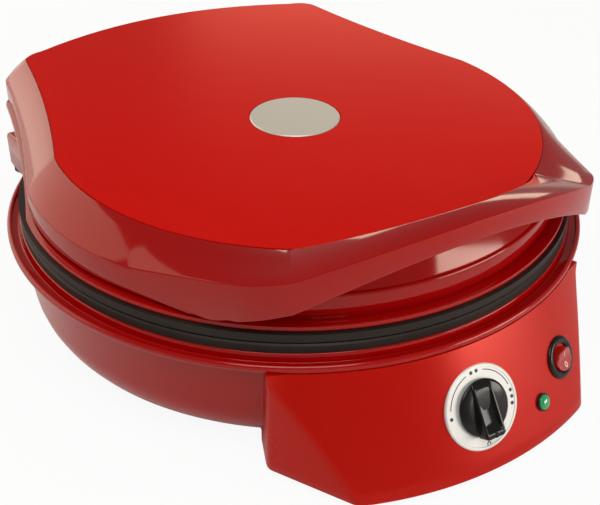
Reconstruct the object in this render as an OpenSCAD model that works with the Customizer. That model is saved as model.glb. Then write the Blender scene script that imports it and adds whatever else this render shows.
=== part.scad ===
// Electric pizza maker: a round red grill with a hinged lid, two non-stick plates,
// a thermostat knob, a rocker switch and a pilot lamp on a sloped front panel.
// Millimetres, front is -Y, up is +Z, the floor is Z = 0.

/* [Heights] */
// floor to the satin top plate of the lid
lid_top_z = 114; // [112:1:117]
// height of the rubber feet
foot_h = 4; // [3:0.5:5]
// floor to the upper face of the base rim
base_rim_z = 66.5; // [65:0.5:67.5]

/* [Lid] */
// width of the sloped band at the sides of the satin top plate
band_w = 17; // [15:0.5:19]
// how far the top plate reaches further to the front than to the sides
plate_swell = 4.5; // [2:0.5:5]
// how far the crest line of the lid lies inside the base rim
crest_in = 12.5; // [11:0.5:14]
// height of the sloped band between top plate and crest
band_h = 16; // [14:1:18]
// wall thickness of the lid moulding
lid_wall = 3; // [2.5:0.25:3.5]
// thickness of the satin top plate
top_plate_t = 1.5; // [1.2:0.1:1.8]
// radius of the silver disc
disc_r = 25.5; // [22:0.5:28]
// half width of the top plate at its rear corners
rear_half_w = 106; // [103:1:108]
// how far the top plate reaches behind its round part
rear_reach = 49.5; // [47:0.5:52]

/* [Handle] */
// how far the handle's middle stands in front of the crest circle
handle_out = 20.5; // [18:0.5:22]
// half distance between the two handle corners
handle_half_w = 99; // [97:1:101]
// rise of the handle middle above the top plate
handle_rise = 21; // [18:1:23]
// thickness of the handle bar in height
handle_t = 11; // [10:0.5:13]
// depth of the handle bar from back to front
handle_d = 19; // [17:1:21]

/* [Cooking plates] */
// how far both cooking plates lie inside the base rim
cook_in = 8; // [7.5:0.25:8.5]
// width of the raised rim round each cooking face
cook_rim_w = 16; // [15.5:0.25:17]
// gap left between the two plate rims when shut
rim_gap = 0.6; // [0.4:0.1:0.8]
// wall thickness of the cooking plates
cook_t = 4; // [3.5:0.25:4.5]

/* [Base] */
// radius of the base rim
flange_r = 165; // [164:0.5:167]
// width of the rim outside the bowl
rim_w = 7; // [6.5:0.25:7.5]
// how far the panel's lower edge stands outside the rim
panel_run = 28.5; // [27:0.5:31]
// wall thickness of the base moulding
base_wall = 3; // [2.5:0.25:3.5]

/* [Controls] */
// radius of the silver dial plate
dial_r = 21.5; // [20:0.5:22.5]
// radius of the thermostat knob
knob_r = 14; // [13:0.5:15]
// height of the thermostat knob
knob_h = 16; // [14:1:18]
// radius of the switch bezel
bezel_r = 10.5; // [10:0.25:11]
// radius of the lamp lens
lamp_r = 3; // [2.5:0.25:3.5]
// radial running clearance of pins and spindle
run_fit = 0.05; // [0.03:0.01:0.08]

/* [Hinge] */
// half distance between the two hinges
hinge_x = 60; // [56:1:64]
// radius of the hinge knuckles
knuckle_r = 5.2; // [5:0.1:5.4]
// radius of the hinge pins
pin_r = 2.5; // [2:0.1:2.8]

/* [Hidden] */
$fn = 96;
eps = 0.01;
seat = 0.35;              // slip clearance around seated parts
gap = 0.4;                // clearance between parts that move past each other

// radii, all taken from the base rim
bowl_r = flange_r - rim_w;             // bowl just under the rim
cook_r = flange_r - cook_in;           // both cooking plates
cook_face_r = cook_r - cook_rim_w;     // flat cooking face
crest_r = flange_r - crest_in;         // crest line of the lid
plate_r = crest_r - band_w;            // round part of the top plate
panel_foot_r = flange_r + panel_run;   // panel at its lower edge
handle_reach = crest_r + handle_out;   // lid centre to the middle of the handle front
rear_y = plate_r + rear_reach;         // lid centre to the rear edge of the top plate

// lid heights
deck_z = lid_top_z - top_plate_t;      // floor of the pocket that takes the top plate
deck_t = 2.5;                          // thickness of the lid deck
deck_low_z = deck_z - deck_t;
crest_z = lid_top_z - band_h;
groove_top_z = crest_z - 12;           // lower edge of the upright lip
groove_low_z = groove_top_z - 2.5;
rim_low_z = groove_low_z - 4.5;        // lower edge of the lid rim
groove_d = 3;                          // depth of the shadow groove
rim_out = 5.5;                         // how far the rim stands outside the crest

// cooking plate heights
gap_z = rim_low_z - 5;                 // underside of the upper plate rim
low_rim_z = gap_z - rim_gap;           // top of the lower plate rim
seat_z = base_rim_z + 2;               // ledge that carries the lower plate
cook_seat_r = cook_r - 7;              // inner radius of both plate rims
low_face_z = seat_z - 1;               // lower cooking face
up_face_z = rim_low_z + 4;             // upper cooking face

// outlines of the lid
crease_a = 98;                         // where the round lid turns into the rear flare
flare_bow = 3;                         // hollow of the flare
rear_corner_y = rear_y - 28;
band_out = 12;                         // crest stands this far outside the plate at the corners
band_corner = 12;                      // crest corner lies this far behind the plate corner
band_rear = 8;                         // crest behind the rear edge of the plate
recess_a = 31;                         // half angle of the finger recess
n_flare = 12;
n_corner = 6;
n_rear = 8;

// handle
tip_y = 36 - handle_reach;             // handle corners, from the lid centre
tip_drop = 4;                          // handle corners below the top plate
root_a = 61;                           // where the handle leaves the round lid
tip_t = 18;                            // height of the handle at its corners
recess_r = crest_r - 9.5;               // wall behind the handle
drum_r = crest_r - 3.5;                // band below the handle
drum_top_z = lid_top_z - 23;

// base
bowl_low_z = foot_h + 4;
panel_top_z = base_rim_z - 4;
panel_low_z = foot_h;
panel_tilt = atan((panel_foot_r - flange_r) / (panel_top_z - panel_low_z));
panel_wall = 4;
lip_r = bowl_r - 0.5;                  // outer radius of the ledge under the lower plate
ledge_r = cook_r - 5.5;
bowl_foot_r = bowl_r - 19;             // flat underside of the bowl
opening_r = bowl_r - 32;               // opening in the underside of the bowl
cover_r = bowl_r - 24;
cover_t = 1.5;
cover_z = bowl_low_z;
post_r = 4.5;
post_ring = cover_r - 16;
post_angles = [30, 150, 270];
post_top_z = seat_z - 14;

// controls on the panel
dial_z = 34;
dial_t = 2;
dial_sink = 1.6;
switch_a = 19.4;
switch_z = 33.8;
lamp_a = 12.2;
lamp_z = 21.5;
spindle_r = 3;
pad_z = 5;                             // mounting pads reach this far behind the panel face
housing_x = 95.5;                      // half width of the housing at its side corners
bezel_t = 1.6;
rocker_w = 9;
rocker_l = 12.6;
rocker_pin_r = 1.2;
rocker_pivot = 4;                      // rocker pivot below the panel face

// hinge
hinge_y = rear_y + 2;

hinge_z = rim_low_z - 6;
leg_end_y = flange_r + 71;             // rear ends of the legs, from the lid centre
gland_z = 36;                          // height of the cord inlet in the rear wall
gland_r = 6.4;
cord_r = 4;
leg_x = 99;
leg_w = 14;
leaf_w = 12;
ear_t = 5;
block_top_z = base_rim_z - 5;

// ---------------------------------------------------------------- helpers

// point at radius r and angle a, measured from the front towards the right
function pol(r, a) = [r * sin(a), -r * cos(a)];
function unit(v) = v / norm(v);
function out(v, d) = v + unit(v) * d;
function at(v, z) = [v[0], v[1], z];
function bend(a, b, c, t) = (1 - t) * (1 - t) * a + 2 * t * (1 - t) * b + t * t * c;

// puts its children on the control panel, +Z out of the panel and +Y up its slope
module on_panel(a, z) {
    rotate([0, 0, a])
        translate([0, -panel_r(z), z])
            rotate([90 - panel_tilt, 0, 0])
                children();
}
function panel_r(z) = panel_foot_r
    - (panel_foot_r - flange_r) * (z - panel_low_z) / (panel_top_z - panel_low_z);

module ring(r_out, r_in, z0, z1) {
    rotate_extrude()
        polygon([[r_in, z0], [r_out, z0], [r_out, z1], [r_in, z1]]);
}

module at_posts(r_ring = post_ring) {
    for (a = post_angles)
        rotate([0, 0, a])
            translate([r_ring, 0, 0])
                children();
}

// ---------------------------------------------------------------- lid outlines

// right half of a lid outline behind the crease: flare, rounded corner, rear edge
function rear_half(rc, cx, cy, ry) =
    let (a = pol(rc, crease_a), f = [cx, cy - 6], k = [cx - 1, cy + 5], g = [cx - 14, cy + 7])
    concat(
        [for (i = [0 : n_flare])
            let (t = i / n_flare)
            a + (f - a) * t - [4 * t * (1 - t) * flare_bow, 0]],
        [for (i = [1 : n_corner]) bend(f, k, g, i / n_corner)],
        [for (i = [1 : n_rear])
            let (x = g[0] * (1 - i / n_rear))
            [x, ry - (ry - g[1]) * pow(x / g[0], 2)]]);

plate_rear = rear_half(plate_r, rear_half_w, rear_corner_y, rear_y);
crest_rear = rear_half(crest_r, rear_half_w + band_out, rear_corner_y + band_corner, rear_y + band_rear);

// ---------------------------------------------------------------- handle outline

tip = [handle_half_w, tip_y];
front_r = (pow(handle_half_w, 2) + pow(handle_reach + tip_y, 2)) / (2 * (handle_reach + tip_y));
function front_y(x) = front_r - handle_reach - sqrt(front_r * front_r - x * x);
function handle_crest(x) = lid_top_z + handle_rise
    - (handle_rise + tip_drop) * pow(abs(x) / handle_half_w, 2);
function handle_thick(x) = handle_t + (tip_t - handle_t) * pow(abs(x) / handle_half_w, 2);

// edge of the top plate, a little further out at the front
function plate_edge(a) = pol(plate_r + plate_swell * pow(max(0, cos(a)), 2), a);

// a station where the handle grows out of the lid: [plate point, round crest point, kind 2,
// outer edge of the handle, height of its crest, height of its lower edge]
function root_station(a, o, zt, zb) = [plate_edge(a), pol(crest_r, a), 2, o, zt, zb];

// rounded corner between the front of the handle and its side, t from 0 to 1
tip_a = atan2(handle_half_w, -tip_y);
root = pol(crest_r, root_a);
bar_end_x = 0.87 * handle_half_w;
side_start = 0.16;
corner_end = tip + (root - tip) * side_start;
function corner_station(t) =
    let (o = bend([bar_end_x, front_y(bar_end_x)], tip, corner_end, t), x = min(o[0], handle_half_w))
    root_station(recess_a + 0.2 + t * (tip_a + 3 - recess_a), o, handle_crest(x),
        handle_crest(x) - handle_thick(x));

// straight side of the handle back to the round lid, t from 0 to 1
function side_station(t) =
    let (k = side_start + (1 - side_start) * t, x = corner_end[0],
        zt = handle_crest(x) + (crest_z - handle_crest(x)) * t,
        low = handle_crest(x) - handle_thick(x))
    root_station(tip_a + 3.2 + (root_a - tip_a - 3.2) * t, tip + (root - tip) * k, zt,
        low - (low - groove_top_z - 0.5) * min(1, t * 1.4));

recess_steps = [for (a = [0 : recess_a / 8 : recess_a + eps]) a];
round_steps = [for (a = [64, 67, 70, 73, 76, 80, 84, 88, 92, 95]) a];

// stations of the right half: [plate point, crest point, kind], kind 1 inside the finger recess
right_half = concat(
    [for (a = recess_steps) [plate_edge(a), pol(crest_r, a), 1]],
    [for (t = [0 : 0.2 : 1.01]) corner_station(t)],
    [for (t = [0.125 : 0.125 : 1]) side_station(t)],
    [for (a = round_steps) [plate_edge(a), pol(crest_r, a), 0]],
    [for (i = [0 : len(plate_rear) - 1]) [plate_rear[i], crest_rear[i], 0]]);
n_half = len(right_half);
function flip(v) = [-v[0], v[1]];
function mirrored(s) = s[2] == 2
    ? [flip(s[0]), flip(s[1]), 2, flip(s[3]), s[4], s[5]]
    : [flip(s[0]), flip(s[1]), s[2]];
stations = concat(right_half, [for (i = [n_half - 2 : -1 : 1]) mirrored(right_half[i])]);

// outer side of the lid moulding at one station, from the band down to the groove
function outer_side(s, p, c, u) =
    s[2] == 1
    ? [at(u * (recess_r - 1.5), lid_top_z - 2.5), at(u * recess_r, lid_top_z - 5),
        at(u * recess_r, drum_top_z + 1), at(u * drum_r, drum_top_z),
        at(u * drum_r, groove_top_z), at(u * (drum_r - 1), groove_top_z - 0.3),
        at(u * (drum_r - 1), groove_low_z)]
    : s[2] == 2
    ? [at(p + (s[3] - p) * 0.5, (lid_top_z + s[4]) / 2 + (lid_top_z - s[4]) * 0.08),
        at(s[3], s[4]), at(s[3], s[5]), at(u * (drum_r + 0.5), s[5] - 0.5),
        at(u * drum_r, groove_top_z), at(u * (drum_r - 1), groove_top_z - 0.3),
        at(u * (drum_r - 1), groove_low_z)]
    : [at(p + (c - p) * 0.5, lid_top_z - band_h * 0.42), at(c, crest_z),
        at(c, crest_z - 4), at(c, crest_z - 8),
        at(c, groove_top_z), at(out(c, -groove_d), groove_top_z - 0.3),
        at(out(c, -groove_d), groove_low_z)];

// inner side of the lid moulding at one station, from the rim up to the deck
function inner_side(s, p, c, u) =
    let (in_r = norm(c) - lid_wall - 0.5)
    s[2] == 1
    ? [at(u * (drum_r - 3), rim_low_z + 3.5), at(u * (drum_r - 3), drum_top_z - 2.5),
        at(u * (recess_r - 3), drum_top_z - 1), at(u * (recess_r - 3), lid_top_z - 6)]
    : [at(out(c, -groove_d - 2.5), rim_low_z + 3.5), at(u * in_r, groove_top_z + 2),
        at(u * in_r, crest_z - 2), at(p * 0.5 + u * in_r * 0.5, deck_low_z - band_h * 0.42)];

function wall_loop(s) =
    let (p = s[0], c = s[1], u = unit(c))
    concat(
        [at(out(p, seat), deck_z), at(out(p, seat), lid_top_z - 0.2)],
        outer_side(s, p, c, u),
        [at(out(c, rim_out), groove_low_z - 0.6), at(out(c, rim_out), rim_low_z + 0.8),
            at(out(c, rim_out - 0.8), rim_low_z), at(out(c, -2), rim_low_z)],
        inner_side(s, p, c, u),
        [at(out(p, -1), deck_low_z)]);

module lid_wall_solid() {
    loops = [for (s = stations) wall_loop(s)];
    n = len(loops);
    m = len(loops[0]);
    points = concat([for (l = loops, q = l) q], [[0, 0, deck_z], [0, 0, deck_low_z]]);
    faces = concat(
        [for (i = [0 : n - 1], k = [0 : m - 2])
            let (j = (i + 1) % n) [i * m + k, j * m + k, j * m + k + 1]],
        [for (i = [0 : n - 1], k = [0 : m - 2])
            let (j = (i + 1) % n) [i * m + k, j * m + k + 1, i * m + k + 1]],
        [for (i = [0 : n - 1]) let (j = (i + 1) % n) [n * m, j * m, i * m]],
        [for (i = [0 : n - 1]) let (j = (i + 1) % n) [n * m + 1, i * m + m - 1, j * m + m - 1]]);
    polyhedron(points, faces, convexity = 8);
}

// ---------------------------------------------------------------- handle

// section of the free bar at u = 0 in the middle and u = 1 at the end of the finger gap
function bar_section(u) =
    let (slim = 0.15, x = bar_end_x * u, o = [x, front_y(x) + slim], e = pol(recess_r + 10, recess_a + 0.2),
        i = [e[0] * u, -(handle_reach - handle_d) + (handle_reach - handle_d + e[1]) * u * u],
        zt = handle_crest(x) - slim, zb = handle_crest(x) - handle_thick(x) + slim)
    [at(i, zt - 1.5), at(i - [0, 2.5], zt - 0.2), at(o, zt), at(o, zb), at(i - [0, 2], zb + 0.3),
        at(i, zb + 2.5)];

right_bar = [for (i = [0 : 11]) bar_section(i < 11 ? i / 10 : 1.05)];
bar_sections = concat(
    [for (i = [len(right_bar) - 1 : -1 : 1]) [for (q = right_bar[i]) [-q[0], q[1], q[2]]]],
    right_bar);

module handle_solid() {
    n = len(bar_sections);
    m = len(bar_sections[0]);
    points = [for (l = bar_sections, q = l) q];
    faces = concat(
        [for (i = [0 : n - 2], k = [0 : m - 1])
            let (l = (k + 1) % m) [i * m + k, (i + 1) * m + k, (i + 1) * m + l]],
        [for (i = [0 : n - 2], k = [0 : m - 1])
            let (l = (k + 1) % m) [i * m + k, (i + 1) * m + l, i * m + l]],
        [for (k = [1 : m - 2]) [0, k, k + 1]],
        [for (k = [1 : m - 2]) [(n - 1) * m, (n - 1) * m + k + 1, (n - 1) * m + k]]);
    polyhedron(points, faces, convexity = 6);
}

// ---------------------------------------------------------------- lid nodes

screw_head_r = 4;
screw_r = 2;
lid_post_r = 6;
tube_r = 3.25;                         // heating tube
element_r = cover_r - 34;              // ring of the heating tube
shield_z = up_face_z + cook_t + 9;     // underside of the upper heat shield
shield_t = 1;
up_shield_r = cook_face_r - 9;

module lid_shell() {
    color([0.62, 0.02, 0.02])
        difference() {
            union() {
                lid_wall_solid();
                handle_solid();
                at_posts()
                    translate([0, 0, shield_z + shield_t])
                        cylinder(r = lid_post_r, h = deck_low_z - shield_z);
            }
            at_posts()
                translate([0, 0, shield_z])
                    cylinder(r = screw_r + 0.2, h = 30);
            at_posts()
                translate([0, 0, deck_z - 2.2])
                    cylinder(r = screw_head_r + 0.3, h = 5);
            for (side = [-1, 1])
                translate([side * hinge_x - leaf_w / 2 - 0.5, hinge_y - 13, rim_low_z - 1])
                    cube([leaf_w + 1, 30, 9.5]);
        }
}

module lid_top_plate() {
    color([0.8, 0.05, 0.03])
        difference() {
            translate([0, 0, deck_z])
                linear_extrude(height = top_plate_t)
                    polygon([for (s = stations) s[0]]);
            translate([0, 0, lid_top_z - 0.9])
                cylinder(r = disc_r + 0.6, h = 2);
        }
}

module lid_disc() {
    color([0.8, 0.8, 0.78])
        rotate_extrude()
            polygon([[0, lid_top_z - 0.9], [disc_r, lid_top_z - 0.9], [disc_r, lid_top_z - 0.1],
                [disc_r - 0.5, lid_top_z + 0.3], [0, lid_top_z + 0.3]]);
}

module upper_heat_shield() {
    color([0.75, 0.76, 0.78])
        difference() {
            rotate_extrude()
                polygon([[0, shield_z], [up_shield_r - 1, shield_z], [up_shield_r - 1, shield_z - 6],
                    [up_shield_r, shield_z - 6], [up_shield_r, shield_z + shield_t],
                    [0, shield_z + shield_t]]);
            at_posts()
                translate([0, 0, shield_z - 1])
                    cylinder(r = screw_r + 0.3, h = 5);
            for (side = [-1, 1])
                rotate([0, 0, side * 10])
                    translate([0, element_r, shield_z - 1])
                        cylinder(r = 4.5, h = 5);
        }
}

// tubular heating element with two upturned ends at the rear
module heater(z, end_z) {
    rotate([0, 0, 100])
        rotate_extrude(angle = 340)
            translate([element_r, z])
                circle(r = tube_r);
    for (side = [-1, 1])
        rotate([0, 0, side * 10])
            translate([0, element_r, min(z, end_z)])
                cylinder(r = tube_r, h = abs(end_z - z));
}

module upper_element() {
    color([0.3, 0.3, 0.32])
        heater(up_face_z + cook_t + 3.3, shield_z + 5);
}

module upper_plate() {
    top = up_face_z + cook_t;
    color([0.12, 0.12, 0.12])
        difference() {
            union() {
                rotate_extrude()
                    polygon([[0, up_face_z], [cook_face_r - 2, up_face_z], [cook_face_r, up_face_z - 2],
                        [cook_seat_r - 0.5, gap_z], [cook_r - 0.8, gap_z], [cook_r, gap_z + 0.8],
                        [cook_r, rim_low_z], [cook_face_r + cook_t, rim_low_z],
                        [cook_face_r + cook_t, top - 2], [cook_face_r + cook_t - 2, top], [0, top]]);
                at_posts()
                    translate([0, 0, top - eps])
                        cylinder(r = lid_post_r, h = shield_z - top + eps);
            }
            at_posts()
                translate([0, 0, top - 1])
                    cylinder(r = screw_r, h = 30);
        }
}

module upper_plate_screws() {
    color([0.6, 0.6, 0.6])
        at_posts() {
            translate([0, 0, deck_z - 2.2])
                cylinder(r = screw_head_r, h = 2);
            translate([0, 0, up_face_z + cook_t - 0.8])
                cylinder(r = screw_r, h = deck_z - 2 - (up_face_z + cook_t - 0.8));
        }
}

// leaf that joins the lid deck to the hinge pin
module lid_arm(side) {
    neck_y = hinge_y - 5;
    plate_back = rear_y - 13;
    color([0.2, 0.2, 0.21])
        difference() {
            translate([side * hinge_x - leaf_w / 2, 0, 0])
                rotate([90, 0, 90])
                    linear_extrude(height = leaf_w)
                        union() {
                            translate([hinge_y, hinge_z])
                                circle(r = knuckle_r);
                            polygon([[hinge_y - 4.6, hinge_z + 2.3], [hinge_y + 4.6, hinge_z + 2.3],
                                [neck_y, rim_low_z + 7], [neck_y, crest_z - 3], [plate_back, deck_low_z],
                                [plate_back - 32, deck_low_z], [plate_back - 32, deck_low_z - 3],
                                [plate_back - 5, deck_low_z - 4], [neck_y - 10, rim_low_z + 12]]);
                        }
            translate([side * hinge_x, hinge_y, hinge_z])
                rotate([0, 90, 0])
                    cylinder(r = pin_r + run_fit, h = 40, center = true);
        }
}
module lid_arm_left() { lid_arm(-1); }
module lid_arm_right() { lid_arm(1); }

// ---------------------------------------------------------------- base nodes

module bowl_inside() {
    rotate_extrude()
        polygon([[0, bowl_low_z + 4], [bowl_foot_r - 1, bowl_low_z + 4], [bowl_foot_r + 8.5, bowl_low_z + 9.5],
            [bowl_r - base_wall - 3, bowl_low_z + 18], [bowl_r - base_wall - 0.5, block_top_z],
            [ledge_r, base_rim_z - 1.5], [ledge_r, base_rim_z + 20], [0, base_rim_z + 20]]);
}

// plan of the front housing between its two side faces
module housing_plan(inset) {
    side = [[housing_x - 54 - inset, -flange_r - 67], [housing_x - 26 - inset, -flange_r - 17],
        [housing_x - inset, 28 - flange_r + inset * 0.6], [housing_x - 7.5 - inset, 65 - flange_r]];
    polygon(concat(side, [for (i = [3 : -1 : 0]) [-side[i][0], side[i][1]]]));
}

module housing_solid() {
    intersection() {
        rotate_extrude()
            polygon([[bowl_r - 38, panel_low_z], [panel_foot_r, panel_low_z], [flange_r, panel_top_z],
                [bowl_r - 38, panel_top_z]]);
        translate([0, 0, panel_low_z])
            linear_extrude(height = 80)
                housing_plan(0);
    }
}

module housing_hollow() {
    off = panel_wall / cos(panel_tilt);
    intersection() {
        rotate_extrude()
            polygon([[bowl_r - 1, panel_low_z - 4], [panel_foot_r - off + 2.8, panel_low_z - 4],
                [flange_r - off + 3, panel_top_z - 4], [bowl_r - 1, panel_top_z - 4]]);
        translate([0, 0, panel_low_z - 5])
            linear_extrude(height = 80)
                housing_plan(4);
    }
}

module cover_solid(grow, z, h) {
    translate([0, 0, z])
        cylinder(r = cover_r + grow, h = h);
    intersection() {
        translate([0, 0, z])
            cylinder(r = panel_foot_r - 9 + grow, h = h);
        translate([0, 0, z])
            linear_extrude(height = h)
                housing_plan(5 - grow);
    }
}

module leg_solid(side) {
    translate([side * leg_x - leg_w / 2, 0, 0])
        rotate([90, 0, 90])
            linear_extrude(height = leg_w)
                polygon([[bowl_r - 58, 46], [bowl_r - 18, 46], [leg_end_y - 24, 34],
                    [leg_end_y - 3, 30], [leg_end_y, 27], [leg_end_y, foot_h], [leg_end_y - 17, foot_h],
                    [bowl_r - 8, 16], [bowl_r - 58, 18]]);
}

module hinge_block(side) {
    translate([side * hinge_x - 13, 0, 0])
        rotate([90, 0, 90])
            linear_extrude(height = 26)
                polygon([[opening_r, block_top_z], [hinge_y - 2, block_top_z],
                    [hinge_y - 2, block_top_z - 10], [bowl_r, 28], [opening_r, 28]]);
}

module base_shell() {
    color([0.62, 0.02, 0.02])
        difference() {
            union() {
                rotate_extrude()
                    polygon([[opening_r, bowl_low_z], [bowl_foot_r, bowl_low_z],
                        [bowl_foot_r + 9, bowl_low_z + 4.5],
                        [bowl_r - 3, bowl_low_z + 16], [bowl_r, block_top_z], [flange_r - 2, block_top_z],
                        [flange_r, block_top_z + 1.5], [flange_r, base_rim_z - 1], [flange_r - 1, base_rim_z],
                        [flange_r - 2.5, base_rim_z], [flange_r - 2.5, base_rim_z - 2.5],
                        [lip_r + 1, base_rim_z - 2.5], [lip_r, seat_z], [opening_r, seat_z]]);
                difference() {
                    housing_solid();
                    housing_hollow();
                }
                for (side = [-1, 1]) {
                    hinge_block(side);
                    leg_solid(side);
                }
                on_panel(0, dial_z)
                    translate([0, 0, -pad_z])
                        cylinder(r = 17, h = 4);
                on_panel(switch_a, switch_z)
                    translate([0, 0, -pad_z])
                        cylinder(r = 13, h = 4);
                on_panel(lamp_a, lamp_z)
                    translate([0, 0, -pad_z])
                        cylinder(r = 7, h = 4);
            }
            bowl_inside();
            cover_solid(0.4, bowl_low_z - 5, 5 + cover_t);
            translate([0, 0, bowl_low_z])
                cylinder(r = opening_r + eps, h = 10);
            on_panel(0, dial_z)
                translate([0, 0, -dial_sink])
                    cylinder(r = dial_r + 0.3, h = 10);
            on_panel(0, dial_z)
                cylinder(r = 5.2, h = 30, center = true);
            on_panel(switch_a, switch_z)
                cylinder(r = 10, h = 30, center = true);
            on_panel(lamp_a, lamp_z)
                cylinder(r = 3.8, h = 30, center = true);
            translate([0, bowl_r - 28, gland_z])
                rotate([-90, 0, 0])
                    cylinder(r = gland_r + 0.3, h = 40);
            for (x = [-30, 30])
                translate([x, -bowl_r - 12, gland_z])
                    rotate([-90, 0, 0])
                        cylinder(r = 5, h = 30);
        }
}

module bottom_cover() {
    color([0.16, 0.16, 0.17])
        difference() {
            cover_solid(0, cover_z, cover_t);
            at_posts()
                translate([0, 0, cover_z - 1])
                    cylinder(r = screw_r + 0.2, h = 5);
            for (x = [-45 : 15 : 45], y = [-40, 0, 40])
                translate([x - 2, y - 12, cover_z - 1])
                    cube([4, 24, 5]);
        }
}

module foot(x, y, top, r) {
    color([0.08, 0.08, 0.08])
        translate([x, y, 0])
            rotate_extrude()
                polygon([[0, 0], [r - 1, 0], [r, 1], [r, top], [0, top]]);
}
module foot_front_left() { foot(-62, -flange_r, cover_z, 8); }
module foot_front_right() { foot(62, -flange_r, cover_z, 8); }
module foot_rear_left() { foot(-leg_x, leg_end_y - 8, foot_h, 6.5); }
module foot_rear_right() { foot(leg_x, leg_end_y - 8, foot_h, 6.5); }

low_shield_z = post_top_z - shield_t;
low_shield_r = ledge_r - 10.5;

module lower_heat_shield() {
    color([0.75, 0.76, 0.78])
        difference() {
            rotate_extrude()
                polygon([[0, low_shield_z], [low_shield_r, low_shield_z],
                    [low_shield_r + 3, low_shield_z + 6], [low_shield_r + 2, low_shield_z + 6.5],
                    [low_shield_r - 0.6, low_shield_z + shield_t], [0, low_shield_z + shield_t]]);
            at_posts()
                translate([0, 0, low_shield_z - 1])
                    cylinder(r = screw_r + 0.3, h = 5);
            for (side = [-1, 1])
                rotate([0, 0, side * 10])
                    translate([0, element_r, low_shield_z - 1])
                        cylinder(r = 4.5, h = 5);
        }
}

module lower_element() {
    color([0.3, 0.3, 0.32])
        heater(low_face_z - cook_t - 3.3, low_shield_z - 6);
}

module lower_plate() {
    low = low_face_z - cook_t;
    color([0.12, 0.12, 0.12])
        difference() {
            union() {
                rotate_extrude()
                    polygon([[0, low], [ledge_r - 4, low], [ledge_r - 0.5, low + 3.5], [ledge_r - 0.5, seat_z],
                        [cook_r, seat_z], [cook_r, low_rim_z - 0.8], [cook_r - 0.8, low_rim_z],
                        [cook_seat_r, low_rim_z], [cook_face_r + 5, low_face_z], [0, low_face_z]]);
                at_posts()
                    translate([0, 0, post_top_z])
                        cylinder(r = 6, h = low - post_top_z + eps);
            }
            at_posts()
                translate([0, 0, post_top_z - 5])
                    cylinder(r = screw_r, h = low - post_top_z + 6);
        }
}

module lower_plate_posts() {
    color([0.55, 0.55, 0.56])
        at_posts()
            difference() {
                translate([0, 0, cover_z + cover_t])
                    cylinder(r = post_r, h = low_shield_z - cover_z - cover_t);
                cylinder(r = screw_r + 0.2, h = 90);
            }
}

module lower_plate_screws() {
    color([0.6, 0.6, 0.6])
        at_posts() {
            translate([0, 0, cover_z - 2])
                cylinder(r = screw_head_r, h = 2);
            translate([0, 0, cover_z - 1])
                cylinder(r = screw_r, h = low_face_z - cook_t - cover_z + 1.5);
        }
}

module thermostat() {
    color([0.75, 0.72, 0.65])
        difference() {
            union() {
                on_panel(0, dial_z)
                    translate([-11, -11, -pad_z - 11])
                        cube([22, 22, 11]);
                on_panel(0, dial_z)
                    translate([0, 0, -pad_z - 1])
                        cylinder(r = 4.9, h = pad_z - dial_sink + 1);
            }
            on_panel(0, dial_z)
                translate([0, 0, -pad_z - 8])
                    cylinder(r = spindle_r + run_fit, h = 30);
        }
}

module thermal_fuse() {
    color([0.85, 0.85, 0.8])
        translate([20, 60, low_shield_z - 7])
            difference() {
                cube([26, 12, 7]);
                translate([-1, 6, 3.5])
                    rotate([0, 90, 0])
                        cylinder(r = 2, h = 30);
            }
}

module terminal_block() {
    color([0.9, 0.9, 0.85])
        difference() {
            translate([-20, element_r - 4, cover_z + cover_t])
                cube([40, 16, 13]);
            for (x = [-13, 0, 13])
                translate([x, element_r - 10, cover_z + cover_t + 7])
                    rotate([-90, 0, 0])
                        cylinder(r = 3, h = 30);
        }
}

// grommet in the rear wall: a sleeve with a collar on each side of the wall
module cord_gland() {
    wall_y = bowl_r - 2;
    color([0.08, 0.08, 0.08])
        translate([0, 0, gland_z])
            rotate([-90, 0, 0])
                difference() {
                    union() {
                        translate([0, 0, wall_y - base_wall - 5])
                            cylinder(r = gland_r, h = base_wall + 9);
                        translate([0, 0, wall_y + 1.3])
                            cylinder(r = gland_r + 3.1, h = 2.5);
                        translate([0, 0, wall_y - base_wall - 4])
                            cylinder(r = gland_r + 3.1, h = 2.5);
                    }
                    translate([0, 0, wall_y - 20])
                        cylinder(r = cord_r, h = 40);
                }
}

module dial_plate() {
    color([0.85, 0.85, 0.86])
        on_panel(0, dial_z)
            translate([0, 0, -dial_sink])
                rotate_extrude()
                    polygon([[5.4, 0], [dial_r, 0], [dial_r, dial_t - 0.5], [dial_r - 0.6, dial_t],
                        [dial_r - 1.6, dial_t], [dial_r - 1.8, dial_t - 0.3], [5.4, dial_t - 0.3]]);
}

module switch_body() {
    color([0.1, 0.1, 0.1])
        difference() {
            union() {
                on_panel(switch_a, switch_z)
                    cylinder(r = bezel_r, h = bezel_t);
                on_panel(switch_a, switch_z)
                    translate([0, 0, -13])
                        cylinder(r = 9.7, h = 13 + eps);
            }
            on_panel(switch_a, switch_z)
                translate([-rocker_w / 2 - 0.4, -rocker_l / 2 - 0.5, -rocker_pivot - 7])
                    cube([rocker_w + 0.8, rocker_l + 1, 30]);
            on_panel(switch_a, switch_z)
                translate([0, 0, -rocker_pivot])
                    rotate([0, 90, 0])
                        cylinder(r = rocker_pin_r + run_fit, h = 14, center = true);
        }
}

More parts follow.
